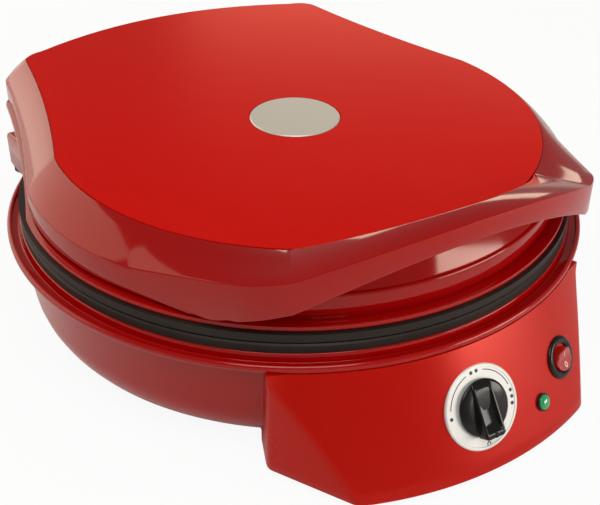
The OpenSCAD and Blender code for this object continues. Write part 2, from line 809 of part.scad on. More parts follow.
module rocker() {
    ends = rocker_l / 2;
    color([0.85, 0.1, 0.05])
        on_panel(switch_a, switch_z)
            translate([0, 0, -rocker_pivot])
                rotate([8, 0, 0]) {
                    translate([-rocker_w / 2, 0, 0])
                        rotate([90, 0, 90])
                            linear_extrude(height = rocker_w)
                                intersection() {
                                    union() {
                                        circle(r = ends);
                                        translate([-ends + 1.1, 0])
                                            square([2 * ends - 2.2, 10]);
                                    }
                                    polygon([[-ends - 1, -3], [ends + 1, -3], [ends + 1, 8.3], [0, 6.4],
                                        [-ends - 1, 8.3]]);
                                }
                    rotate([0, 90, 0])
                        cylinder(r = rocker_pin_r, h = rocker_w + 3.6, center = true);
                }
}

module lamp_body() {
    color([0.1, 0.1, 0.1])
        on_panel(lamp_a, lamp_z)
            difference() {
                union() {
                    cylinder(r = lamp_r + 1.6, h = 1.2);
                    translate([0, 0, -16])
                        cylinder(r = 3.6, h = 16 + eps);
                }
                translate([0, 0, -1.5])
                    cylinder(r = lamp_r, h = 5);
            }
}

module lamp_lens() {
    color([0.1, 0.5, 0.2])
        on_panel(lamp_a, lamp_z)
            rotate_extrude()
                polygon([[0, -1.5], [lamp_r, -1.5], [lamp_r, 1.6], [lamp_r * 0.87, 2.3],
                    [lamp_r * 0.5, 2.8], [0, 3]]);
}

// fixed half of a hinge: a foot on the block and two ears round the pin
module hinge_ear(side) {
    inner = leaf_w / 2 + gap;
    color([0.2, 0.2, 0.21])
        difference() {
            union() {
                translate([side * hinge_x - inner - ear_t, hinge_y - 24, block_top_z])
                    cube([2 * (inner + ear_t), 20, 2]);
                for (x = [side * hinge_x - inner - ear_t, side * hinge_x + inner])
                    translate([x, 0, 0])
                        rotate([90, 0, 90])
                            linear_extrude(height = ear_t)
                                union() {
                                    translate([hinge_y, hinge_z])
                                        circle(r = knuckle_r);
                                    polygon([[hinge_y - 4, block_top_z], [hinge_y + 4.3, hinge_z - 2.8],
                                        [hinge_y - 2.8, hinge_z + 4.3], [hinge_y - 20, block_top_z]]);
                                }
            }
            translate([side * hinge_x, hinge_y, hinge_z])
                rotate([0, 90, 0])
                    cylinder(r = pin_r, h = 60, center = true);
        }
}
module hinge_ear_left() { hinge_ear(-1); }
module hinge_ear_right() { hinge_ear(1); }

module hinge_pin(side) {
    reach = leaf_w / 2 + gap + ear_t + 0.6;
    color([0.7, 0.7, 0.72])
        translate([side * hinge_x, hinge_y, hinge_z])
            rotate([0, 90, 0])
                cylinder(r = pin_r, h = 2 * reach, center = true);
}
module hinge_pin_left() { hinge_pin(-1); }
module hinge_pin_right() { hinge_pin(1); }

// ---------------------------------------------------------------- knob nodes

knob_z = dial_t - dial_sink + 0.5;     // underside of the knob above the panel face

module knob() {
    bar_w = 8;
    color([0.05, 0.05, 0.05])
        on_panel(0, dial_z)
            difference() {
                union() {
                    translate([0, 0, knob_z])
                        rotate_extrude()
                            polygon([[0, 0], [knob_r, 0], [knob_r, 2.5], [knob_r - 1.5, 4], [knob_r - 2, 8],
                                [knob_r - 3.5, 9.5], [0, 9.5]]);
                    translate([-bar_w / 2, -knob_r - 1.5, knob_z + 0.3])
                        cube([bar_w, 2 * knob_r, knob_h - 0.3]);
                }
                cylinder(r = spindle_r, h = knob_z + 9);
                translate([-0.8, -knob_r - 3, knob_z + knob_h - 0.6])
                    cube([1.6, 9, 5]);
            }
}

module knob_pointer() {
    color([0.95, 0.95, 0.95])
        on_panel(0, dial_z)
            translate([-0.8, -knob_r - 1.5, knob_z + knob_h - 0.6])
                cube([1.6, 7.5, 0.7]);
}

module thermostat_spindle() {
    color([0.7, 0.7, 0.72])
        on_panel(0, dial_z)
            translate([0, 0, -pad_z - 7.6])
                cylinder(r = spindle_r, h = pad_z + 7.6 + knob_z + 9);
}

// ---------------------------------------------------------------- nodes

// puts the middle of the whole object over the origin
knob_tip = panel_r(dial_z) + (knob_r + 1.5) * sin(panel_tilt) + (knob_z + knob_h) * cos(panel_tilt);
middle_y = (leg_end_y - max(panel_foot_r, knob_tip)) / 2;
module placed() {
    translate([0, -middle_y, 0])
        children();
}

placed() base_shell();
placed() bottom_cover();
placed() foot_front_left();
placed() foot_front_right();
placed() foot_rear_left();
placed() foot_rear_right();
placed() lower_heat_shield();
placed() lower_element();
placed() lower_plate();
placed() lower_plate_posts();
placed() lower_plate_screws();
placed() thermostat();
placed() thermal_fuse();
placed() terminal_block();
placed() cord_gland();
placed() dial_plate();
placed() switch_body();
placed() lamp_body();
placed() lamp_lens();
placed() hinge_ear_left();
placed() hinge_ear_right();
placed() hinge_pin_left();
placed() hinge_pin_right();
placed() lid_shell();
placed() lid_top_plate();
placed() lid_disc();
placed() upper_heat_shield();
placed() upper_element();
placed() upper_plate();
placed() upper_plate_screws();
placed() lid_arm_left();
placed() lid_arm_right();
placed() knob();
placed() knob_pointer();
placed() thermostat_spindle();
placed() rocker();
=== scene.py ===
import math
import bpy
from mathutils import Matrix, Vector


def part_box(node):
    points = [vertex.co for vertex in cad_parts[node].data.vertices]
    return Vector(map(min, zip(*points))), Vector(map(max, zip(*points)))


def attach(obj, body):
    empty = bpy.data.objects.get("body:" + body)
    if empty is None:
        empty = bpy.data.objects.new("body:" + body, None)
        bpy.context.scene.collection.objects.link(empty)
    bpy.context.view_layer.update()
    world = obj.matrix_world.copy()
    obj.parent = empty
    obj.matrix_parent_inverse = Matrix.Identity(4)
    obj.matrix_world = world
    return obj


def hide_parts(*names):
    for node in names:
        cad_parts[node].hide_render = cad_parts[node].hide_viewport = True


bl_info = {
    "name": "Pizza maker looks",
    "version": (1, 0, 0),
    "blender": (4, 5, 0),
    "location": "3D View > Sidebar > Pizza maker",
    "description": "Builds the mouldings, controls, finishes and stage of an electric pizza maker",
    "category": "Object",
}

import bmesh
import bpy
from bpy.props import FloatProperty, FloatVectorProperty, IntProperty, PointerProperty
from mathutils import Matrix, Vector

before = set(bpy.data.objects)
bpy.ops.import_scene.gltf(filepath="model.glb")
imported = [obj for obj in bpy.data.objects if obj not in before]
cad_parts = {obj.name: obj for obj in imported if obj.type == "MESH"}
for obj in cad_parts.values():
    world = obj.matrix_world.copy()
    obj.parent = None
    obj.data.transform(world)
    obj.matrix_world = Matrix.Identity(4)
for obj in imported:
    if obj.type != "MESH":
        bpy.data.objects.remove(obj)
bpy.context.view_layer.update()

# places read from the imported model, in metres
DISC_LOW, DISC_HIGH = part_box("lid_disc")
PLATE_LOW, PLATE_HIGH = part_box("lid_top_plate")
BASE_LOW, BASE_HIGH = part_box("base_shell")
CENTRE_Y = (DISC_LOW.y + DISC_HIGH.y) / 2      # centre of the round lid
FOOT_HEIGHT = BASE_LOW.z
MERGE = 1e-6                                   # points nearer than this are one


# ------------------------------------------------------------------ sizes and colours

def length(name, default, description):
    """A length in metres."""
    return FloatProperty(name=name, default=default, description=description, subtype="DISTANCE",
                         unit="LENGTH", precision=4)


def angle(name, degrees, description):
    """An angle, stored in radians."""
    return FloatProperty(name=name, default=math.radians(degrees), description=description,
                         subtype="ANGLE", unit="ROTATION")


def colour(name, rgb, description):
    """A colour without alpha."""
    return FloatVectorProperty(name=name, default=rgb, description=description, subtype="COLOR",
                               size=3, min=0, max=1)


class LidSizes(bpy.types.PropertyGroup):
    """Sizes of the lid moulding and its handle."""
    top: length("Top height", PLATE_HIGH.z, "Floor to the satin top plate")
    plate_radius: length("Plate radius", (PLATE_HIGH.x - PLATE_LOW.x) / 2,
                         "Round part of the top plate")
    crest_radius: length("Crest radius", 0.1525, "Outer edge of the sloped band")
    plate_swell: length("Plate swell", 0.0045,
                        "Top plate further out at the front than at the sides")
    band_drop: length("Band drop", 0.016, "Top plate down to the crest")
    rim_out: length("Rim projection", 0.0025, "Lower rim of the lid beyond the crest")
    lip_height: length("Lip height", 0.0135, "Upright wall under the crest")
    rear_half: length("Rear half width", 0.106, "Half width of the top plate at its rear corners")
    rear_edge: length("Rear edge", PLATE_HIGH.y - CENTRE_Y,
                      "Lid centre to the rear edge of the top plate")
    recess_angle: angle("Recess angle", 31, "Half angle of the finger recess")
    recess_radius: length("Recess radius", 0.143, "Wall behind the handle")
    drum_radius: length("Drum radius", 0.149, "Band under the handle")
    root_angle: angle("Root angle", 61, "Where the handle leaves the round lid")
    handle_reach: length("Handle reach", 0.168, "Lid centre to the middle of the handle front")
    handle_half: length("Handle half width", 0.099, "Half distance between the handle corners")
    handle_corner: length("Handle corner", 0.137, "Lid centre forward to the handle corners")
    handle_rise: length("Handle rise", 0.021, "Middle of the handle above the top plate")
    corner_drop: length("Corner drop", 0.004, "Handle corners below the top plate")
    handle_thick: length("Handle thickness", 0.0105, "Height of the handle bar in its middle")
    corner_thick: length("Corner thickness", 0.0200, "Height of the handle bar at its corners")
    handle_depth: length("Handle depth", 0.0135, "Handle bar from back to front")


class BaseSizes(bpy.types.PropertyGroup):
    """Sizes of the tub and the control housing."""
    rim_radius: length("Rim radius", (BASE_HIGH.x - BASE_LOW.x) / 2, "Outer radius of the base rim")
    rim_top: length("Rim height", 0.0665, "Floor to the upper face of the base rim")
    bowl_radius: length("Bowl radius", 0.158, "Bowl just under the rim")
    panel_foot: length("Panel foot radius", 0.1935, "Radius of the panel at its lower edge")
    panel_top: length("Panel top", 0.0625, "Upper edge of the control panel")
    panel_low: length("Panel bottom", FOOT_HEIGHT, "Lower edge of the control panel")
    wall: length("Wall", 0.004, "Wall thickness of the housing")
    segments: IntProperty(name="Segments", default=240, min=48, max=480,
                          description="Steps round the bowl")


class ControlSizes(bpy.types.PropertyGroup):
    """Sizes and places of the controls."""
    dial_height: length("Dial height", 0.034, "Height of the dial centre on the panel")
    knob_radius: length("Knob radius", 0.0145, "Round part of the knob")
    knob_height: length("Knob height", 0.0075, "Height of the grip's nose")
    knob_heel: length("Knob heel", 0.0024, "Height of the grip at its upper end")
    switch_angle: angle("Switch angle", 19.4, "Switch to the right of the dial")
    switch_height: length("Switch height", 0.0338, "Height of the switch centre on the panel")
    mark_radius: length("Mark radius", 0.0184, "Circle of the printed heat marks")
    dot_radius: length("Dot radius", 0.00095, "Printed dots on the dial")
    bezel_radius: length("Bezel radius", 0.0112, "Ring round the switch")
    rocker_half: length("Rocker half width", 0.0068, "Half width of the round rocker")
    lamp_angle: angle("Lamp angle", 12.2, "Lamp to the right of the dial")
    lamp_height: length("Lamp height", 0.0215, "Height of the lamp on the panel")
    lamp_radius: length("Lamp radius", 0.003, "Clear lens of the lamp")


class Finishes(bpy.types.PropertyGroup):
    """Colours of the finishes."""
    gloss_red: colour("Gloss red", (0.34, 0.001, 0.001), "Moulded lid and base")
    satin_red: colour("Satin red", (0.78, 0.003, 0.001), "Lacquered top plate")
    panel_red: colour("Panel red", (0.44, 0.003, 0.001), "Control housing")
    silver: colour("Silver", (0.74, 0.70, 0.61), "Disc of the lid")
    coating: colour("Non-stick coating", (0.016, 0.012, 0.010), "Baking plates")
    black: colour("Black", (0.008, 0.008, 0.008), "Knob, switch bezel and lamp ring")
    lamp_green: colour("Lamp green", (0.01, 0.32, 0.07), "Pilot lamp lens")
    rocker_red: colour("Rocker red", (0.40, 0.006, 0.003), "Switch rocker")


# ------------------------------------------------------------------ small helpers

def polar(radius, degrees):
    """Point at an angle measured from the front towards the right."""
    a = math.radians(degrees)
    return Vector((radius * math.sin(a), -radius * math.cos(a), 0))


def raised(point, z):
    """The same plan point at height z."""
    return Vector((point.x, point.y, z))


def outwards(point, distance):
    """A plan point moved away from the lid centre."""
    return point + point.normalized() * distance


def bend(a, b, c, t):
    """Point on a soft curve from a to c that leans towards b."""
    return (1 - t) ** 2 * a + 2 * t * (1 - t) * b + t * t * c


def fillet(before, corner, after, radius, steps=3):
    """Points that round a corner."""
    reach_in = min(radius, (before - corner).length * 0.48)
    reach_out = min(radius, (after - corner).length * 0.48)
    a = corner + (before - corner).normalized() * reach_in
    c = corner + (after - corner).normalized() * reach_out
    return [bend(a, corner, c, i / (steps - 1)) for i in range(steps)]


def dress(piece, material):
    """Puts one material on a whole piece."""
    piece.data.materials.clear()
    piece.data.materials.append(material)


def linked(name, data):
    """A new object in the scene that holds a mesh, a lamp or a camera."""
    item = bpy.data.objects.new(name, data)
    bpy.context.scene.collection.objects.link(item)
    return item


def finished(name, mesh, material, body, node, sharp=35.0):
    """Makes a mesh a piece, puts it under its body and hides the imported node that it replaces."""
    mesh.shade_smooth()
    mesh.set_sharp_from_angle(angle=math.radians(sharp))
    piece = linked(name, mesh)
    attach(piece, body)
    if node:
        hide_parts(node)
    dress(piece, material)


def evaluated_mesh(source):
    """The plain mesh of an object with live modifiers; the object itself is removed."""
    graph = bpy.context.evaluated_depsgraph_get()
    mesh = bpy.data.meshes.new_from_object(source.evaluated_get(graph))
    bpy.data.objects.remove(source)
    return mesh


def piece_from(name, points, faces, material, body, node, sharp=35.0):
    """A mesh piece with its points given round the lid centre."""
    mesh = bpy.data.meshes.new(name)
    mesh.from_pydata([(p[0], p[1] + CENTRE_Y, p[2]) for p in points], [], faces)
    work = bmesh.new()
    work.from_mesh(mesh)
    bmesh.ops.remove_doubles(work, verts=work.verts, dist=MERGE)
    bmesh.ops.recalc_face_normals(work, faces=work.faces)
    work.to_mesh(mesh)
    work.free()
    finished(name, mesh, material, body, node, sharp)


def ring_faces(loops, closed=False):
    """Faces between rings of equal length; closed joins the last ring to the first."""
    faces = []
    size = len(loops[0])
    count = len(loops)
    for i in range(count if closed else count - 1):
        j = (i + 1) % count
        for k in range(size):
            m = (k + 1) % size
            faces.append((i * size + k, j * size + k, j * size + m, i * size + m))
    return faces


def end_faces(size, count):
    """The two faces that close a row of rings."""
    return [list(range(size)), [(count - 1) * size + k for k in range(size)][::-1]]


def panel_radius(base, z):
    """Radius of the sloped panel at height z."""
    share = (z - base.panel_low) / (base.panel_top - base.panel_low)
    return base.panel_foot - (base.panel_foot - base.rim_radius) * share


def panel_matrix(base, around, z):
    """Frame on the panel: X along it, Y up its slope, Z out of it."""
    tilt = math.atan((base.panel_foot - base.rim_radius) / (base.panel_top - base.panel_low))
    return (Matrix.Rotation(around, 4, "Z")
            @ Matrix.Translation((0, -panel_radius(base, z), z))
            @ Matrix.Rotation(math.pi / 2 - tilt, 4, "X"))


def on_panel(matrix, points):
    """Local panel points in lid-centred coordinates."""
    return [matrix @ Vector(p) for p in points]


# ------------------------------------------------------------------ shader groups

def new_group(name, inputs, outputs):
    """An empty shader group with named sockets."""
    group = bpy.data.node_groups.new(name, "ShaderNodeTree")
    for label, kind, default in inputs:
        socket = group.interface.new_socket(label, in_out="INPUT", socket_type=kind)
        if default is not None:
            socket.default_value = default
    for label, kind in outputs:
        group.interface.new_socket(label, in_out="OUTPUT", socket_type=kind)
    source = group.nodes.new("NodeGroupInput")
    sink = group.nodes.new("NodeGroupOutput")
    return group, source, sink


def feed(tree, socket, value):
    """Links a socket to another one, or gives it a plain value."""
    if hasattr(value, "is_output"):
        tree.links.new(value, socket)
    else:
        socket.default_value = value


def math_node(tree, operation, first, second):
    """A math node fed by sockets or numbers; gives its output."""
    node = tree.nodes.new("ShaderNodeMath")
    node.operation = operation
    feed(tree, node.inputs[0], first)
    feed(tree, node.inputs[1], second)
    return node.outputs[0]


def noise_node(tree, vector, scale, detail, roughness=0.5):
    """A noise texture; scale may be a socket or a number."""
    node = tree.nodes.new("ShaderNodeTexNoise")
    node.inputs["Detail"].default_value = detail
    node.inputs["Roughness"].default_value = roughness
    tree.links.new(vector, node.inputs["Vector"])
    feed(tree, node.inputs["Scale"], scale)
    return node.outputs["Fac"]


def map_range(tree, value, low, high, to_low, to_high):
    """Maps a value from one range to another, clamped; the ends may be sockets."""
    node = tree.nodes.new("ShaderNodeMapRange")
    tree.links.new(value, node.inputs["Value"])
    labels = ("From Min", "From Max", "To Min", "To Max")
    for label, end in zip(labels, (low, high, to_low, to_high)):
        feed(tree, node.inputs[label], end)
    return node.outputs["Result"]


def mix_colour(tree, factor, first, second):
    """Mixes two colours, given as sockets or as red, green, blue and alpha."""
    node = tree.nodes.new("ShaderNodeMix")
    node.data_type = "RGBA"
    tree.links.new(factor, node.inputs["Factor"])
    for label, value in (("A", first), ("B", second)):
        feed(tree, [s for s in node.inputs if s.name == label and s.type == "RGBA"][0], value)
    return [s for s in node.outputs if s.type == "RGBA"][0]


def make_surface_group():
    """Fine relief with smudges: a height, a roughness value and a tint mask."""
    group, source, sink = new_group(
        "fine_surface",
        [("Vector", "NodeSocketVector", None), ("Relief Scale", "NodeSocketFloat", 900.0),
         ("Smudge Scale", "NodeSocketFloat", 14.0), ("Roughness Low", "NodeSocketFloat", 0.2),
         ("Roughness High", "NodeSocketFloat", 0.3)],
        [("Height", "NodeSocketFloat"), ("Roughness", "NodeSocketFloat"),
         ("Mask", "NodeSocketFloat")])
    relief = noise_node(group, source.outputs["Vector"], source.outputs["Relief Scale"], 2.0)
    smudge = noise_node(group, source.outputs["Vector"], source.outputs["Smudge Scale"], 4.0, 0.6)
    group.links.new(relief, sink.inputs["Height"])
    rough = map_range(group, smudge, 0.35, 0.7, source.outputs["Roughness Low"],
                      source.outputs["Roughness High"])
    group.links.new(rough, sink.inputs["Roughness"])
    group.links.new(map_range(group, smudge, 0.3, 0.75, 0.0, 1.0), sink.inputs["Mask"])
    return group


def make_wear_group():
    """Light wear along raised edges, from the mesh's own bends."""
    group, source, sink = new_group(
        "edge_wear",
        [("Vector", "NodeSocketVector", None),
         ("Colour", "NodeSocketColor", (0.5, 0.5, 0.5, 1)),
         ("Edge Colour", "NodeSocketColor", (0.6, 0.6, 0.6, 1)),
         ("Amount", "NodeSocketFloat", 0.3)],
        [("Colour", "NodeSocketColor")])
    bends = group.nodes.new("ShaderNodeNewGeometry")
    edge = map_range(group, bends.outputs["Pointiness"], 0.52, 0.62, 0.0, 1.0)
    broken = noise_node(group, source.outputs["Vector"], 320.0, 4.0, 0.65)
    broken = map_range(group, broken, 0.42, 0.62, 0.0, 1.0)
    worn = math_node(group, "MULTIPLY", math_node(group, "MULTIPLY", edge, broken),
                     source.outputs["Amount"])
    tinted = mix_colour(group, worn, source.outputs["Colour"], source.outputs["Edge Colour"])
    group.links.new(tinted, sink.inputs["Colour"])
    return group


def make_brush_group():
    """Straight brushing along X, as a height and a roughness value."""
    group, source, sink = new_group(
        "brushed_lines",
        [("Vector", "NodeSocketVector", None), ("Line Scale", "NodeSocketFloat", 2500.0),
         ("Roughness Low", "NodeSocketFloat", 0.22), ("Roughness High", "NodeSocketFloat", 0.4)],
        [("Height", "NodeSocketFloat"), ("Roughness", "NodeSocketFloat")])
    stretch = group.nodes.new("ShaderNodeMapping")
    stretch.inputs["Scale"].default_value = (0.012, 1.0, 1.0)
    group.links.new(source.outputs["Vector"], stretch.inputs["Vector"])
    lines = noise_node(group, stretch.outputs["Vector"], source.outputs["Line Scale"], 2.0, 0.7)
    group.links.new(lines, sink.inputs["Height"])
    rough = map_range(group, lines, 0.3, 0.7, source.outputs["Roughness Low"],
                      source.outputs["Roughness High"])
    group.links.new(rough, sink.inputs["Roughness"])
    return group


def shader_group(name):
    """The shared group of that name, built once."""
    makers = {"fine_surface": make_surface_group, "edge_wear": make_wear_group,
              "brushed_lines": make_brush_group}
    return bpy.data.node_groups.get(name) or makers[name]()


def place_group(tree, name, vector, **values):
    """Places a shared group in a material and sets its inputs."""
    node = tree.nodes.new("ShaderNodeGroup")
    node.node_tree = shader_group(name)
    tree.links.new(vector, node.inputs["Vector"])
    for label, value in values.items():
        node.inputs[label.replace("_", " ")].default_value = value
    return node


RELIEF_HEIGHT = 0.0002     # full height of the fine relief, in metres


def finish_material(name, rgb, rough, *, relief, relief_scale=900.0, metallic=0.0, coat=0.0,
                    tint=None, edge=None, edge_amount=0.25, brushed=0.0, **sockets):
    """A procedural finish: base colour, smudged roughness, fine relief, worn edges."""
    name += "_finish"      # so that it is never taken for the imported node's own material
    if name in bpy.data.materials:
        return bpy.data.materials[name]
    material = bpy.data.materials.new(name)
    material.use_nodes = True
    material.diffuse_color = (*rgb, 1)
    tree = material.node_tree
    shader = tree.nodes["Principled BSDF"]
    shader.inputs["Metallic"].default_value = metallic
    shader.inputs["Coat Weight"].default_value = coat
    for label, value in sockets.items():
        shader.inputs[label.replace("_", " ")].default_value = value
    place = tree.nodes.new("ShaderNodeTexCoord").outputs["Object"]
    if brushed:
        surface = place_group(tree, "brushed_lines", place, Line_Scale=brushed,
                              Roughness_Low=rough[0], Roughness_High=rough[1])
        mask = map_range(tree, surface.outputs["Height"], 0.3, 0.7, 0.0, 1.0)
    else:
        surface = place_group(tree, "fine_surface", place, Relief_Scale=relief_scale,
                              Roughness_Low=rough[0], Roughness_High=rough[1])
        mask = surface.outputs["Mask"]
    tree.links.new(surface.outputs["Roughness"], shader.inputs["Roughness"])
    bump = tree.nodes.new("ShaderNodeBump")
    bump.inputs["Strength"].default_value = relief
    bump.inputs["Distance"].default_value = RELIEF_HEIGHT
    tree.links.new(surface.outputs["Height"], bump.inputs["Height"])
    tree.links.new(bump.outputs["Normal"], shader.inputs["Normal"])
    shade = mix_colour(tree, mask, (*rgb, 1), (*(tint or scaled(rgb, 0.9)), 1))
    if edge:
        wear = place_group(tree, "edge_wear", place, Edge_Colour=(*edge, 1), Amount=edge_amount)
        tree.links.new(shade, wear.inputs["Colour"])
        shade = wear.outputs["Colour"]
    tree.links.new(shade, shader.inputs["Base Color"])
    return material


def chosen(name):
    """A colour of the sidebar as plain numbers."""
    return tuple(getattr(bpy.context.scene.pizza_finishes, name))


def scaled(rgb, share):
    """A colour made darker or lighter."""
    return tuple(c * share for c in rgb)


def gloss_red():
    """Deep red high-gloss moulding."""
    rgb = chosen("gloss_red")
    return finish_material("gloss_red_moulding", rgb, (0.07, 0.12), relief_scale=420.0,
                           relief=0.008, tint=scaled(rgb, 0.94), edge=(0.5, 0.03, 0.02),
                           edge_amount=0.12, Specular_IOR_Level=0.4,
                           Specular_Tint=(1.0, 0.85, 0.75, 1.0))


def panel_red():
    """Red metallic lacquer of the control housing."""
    rgb = chosen("panel_red")
    return finish_material("panel_red_lacquer", rgb, (0.27, 0.29), metallic=0.15,
                           relief_scale=1500.0, relief=0.02, tint=scaled(rgb, 0.99),
                           edge=(0.6, 0.03, 0.015), edge_amount=0.06, Specular_IOR_Level=0.35,
                           Specular_Tint=(1.0, 0.6, 0.45, 1.0))


def satin_red():
    """Bright red satin lacquer on the top plate."""
    rgb = chosen("satin_red")
    return finish_material("satin_red_lacquer", rgb, (0.28, 0.33), metallic=0.3,
                           relief_scale=1500.0, relief=0.025, tint=scaled(rgb, 0.98),
                           edge=(0.8, 0.03, 0.015), edge_amount=0.1, Specular_IOR_Level=0.1,
                           Specular_Tint=(1.0, 0.55, 0.35, 1.0))


def brushed_silver():
    """Pale satin metal of the lid's disc."""
    rgb = chosen("silver")
    return finish_material("brushed_silver", rgb, (0.34, 0.46), metallic=0.5, relief=0.03,
                           brushed=2600.0, tint=scaled(rgb, 0.93))


def dial_silver():
    """Pale metallic paint of the dial plate."""
    return finish_material("dial_silver", (0.68, 0.68, 0.65), (0.42, 0.5), metallic=0.2,
                           relief_scale=2200.0, relief=0.03, tint=(0.65, 0.65, 0.62),
                           edge=(0.8, 0.8, 0.78), edge_amount=0.2)


def non_stick():
    """Dark coating of the baking plates."""
    rgb = chosen("coating")
    return finish_material("non_stick_coating", rgb, (0.38, 0.5), relief_scale=1300.0,
                           relief=0.12, tint=scaled(rgb, 1.6), edge=(0.05, 0.045, 0.04),
                           edge_amount=0.3, Specular_IOR_Level=0.2)


def gloss_black():
    """Polished black plastic."""
    return finish_material("gloss_black_plastic", chosen("black"), (0.16, 0.24), coat=0.1,
                           relief_scale=500.0, relief=0.01, edge=(0.05, 0.05, 0.05),
                           edge_amount=0.2, Specular_IOR_Level=0.2)


def matte_black():
    """Black moulded plastic with a fine grain."""
    return finish_material("matte_black_plastic", (0.02, 0.02, 0.02), (0.5, 0.62),
                           relief_scale=1100.0, relief=0.25, edge=(0.1, 0.1, 0.1),
                           edge_amount=0.3)


def rubber():
    """Matt rubber of the feet."""
    return finish_material("foot_rubber", (0.018, 0.018, 0.018), (0.75, 0.9),
                           relief_scale=800.0, relief=0.3, tint=(0.03, 0.03, 0.03),
                           edge=(0.08, 0.08, 0.08))


def bright_sheet():
    """Rolled sheet of the heat shields."""
    return finish_material("rolled_sheet", (0.6, 0.61, 0.62), (0.25, 0.4), metallic=1.0,
                           brushed=1500.0, relief=0.05)


def heater_sheath():
    """Dull tube of the heating rings."""
    return finish_material("heater_sheath", (0.16, 0.155, 0.16), (0.4, 0.6), metallic=0.8,
                           tint=(0.22, 0.18, 0.15), relief_scale=600.0, relief=0.15)


def zinc_steel():
    """Zinc-plated screws, posts and pins."""
    return finish_material("zinc_steel", (0.5, 0.5, 0.51), (0.28, 0.42), metallic=1.0,
                           tint=(0.42, 0.42, 0.4), relief_scale=900.0, relief=0.06)


def hinge_black():
    """Black lacquered hinge metal."""
    return finish_material("hinge_lacquer", (0.02, 0.02, 0.021), (0.32, 0.45), relief_scale=700.0,
                           relief=0.1, edge=(0.3, 0.3, 0.3), edge_amount=0.5)


def ceramic():
    """Pressed resin of the thermostat body."""
    return finish_material("thermostat_resin", (0.55, 0.5, 0.4), (0.5, 0.7), relief_scale=500.0,
                           relief=0.2, edge=(0.7, 0.68, 0.6))


def white_nylon():
    """White terminal block and fuse holder."""
    return finish_material("white_nylon", (0.72, 0.71, 0.66), (0.4, 0.5), relief_scale=700.0,
                           relief=0.08, edge=(0.85, 0.85, 0.82))


def white_print():
    """White printed marks on the rocker."""
    return finish_material("white_print", (0.78, 0.78, 0.76), (0.5, 0.6), relief_scale=2000.0,
                           relief=0.05)


def black_print():
    """Black printed marks on the dial."""
    return finish_material("black_print", (0.012, 0.012, 0.012), (0.45, 0.55),
                           relief_scale=2000.0, relief=0.05)


def green_lens():
    """Clear green lens of the pilot lamp."""
    return finish_material("green_lens", chosen("lamp_green"), (0.05, 0.12), coat=0.8,
                           relief_scale=700.0, relief=0.02, tint=(0.02, 0.5, 0.16),
                           Transmission_Weight=0.35, IOR=1.49)


def red_lens():
    """Translucent red plastic of the rocker."""
    return finish_material("red_rocker_plastic", chosen("rocker_red"), (0.2, 0.28), coat=0.2,
                           relief_scale=700.0, relief=0.02, edge=(0.7, 0.08, 0.04),
                           Subsurface_Weight=0.2, Subsurface_Scale=0.002)


# ------------------------------------------------------------------ lid moulding

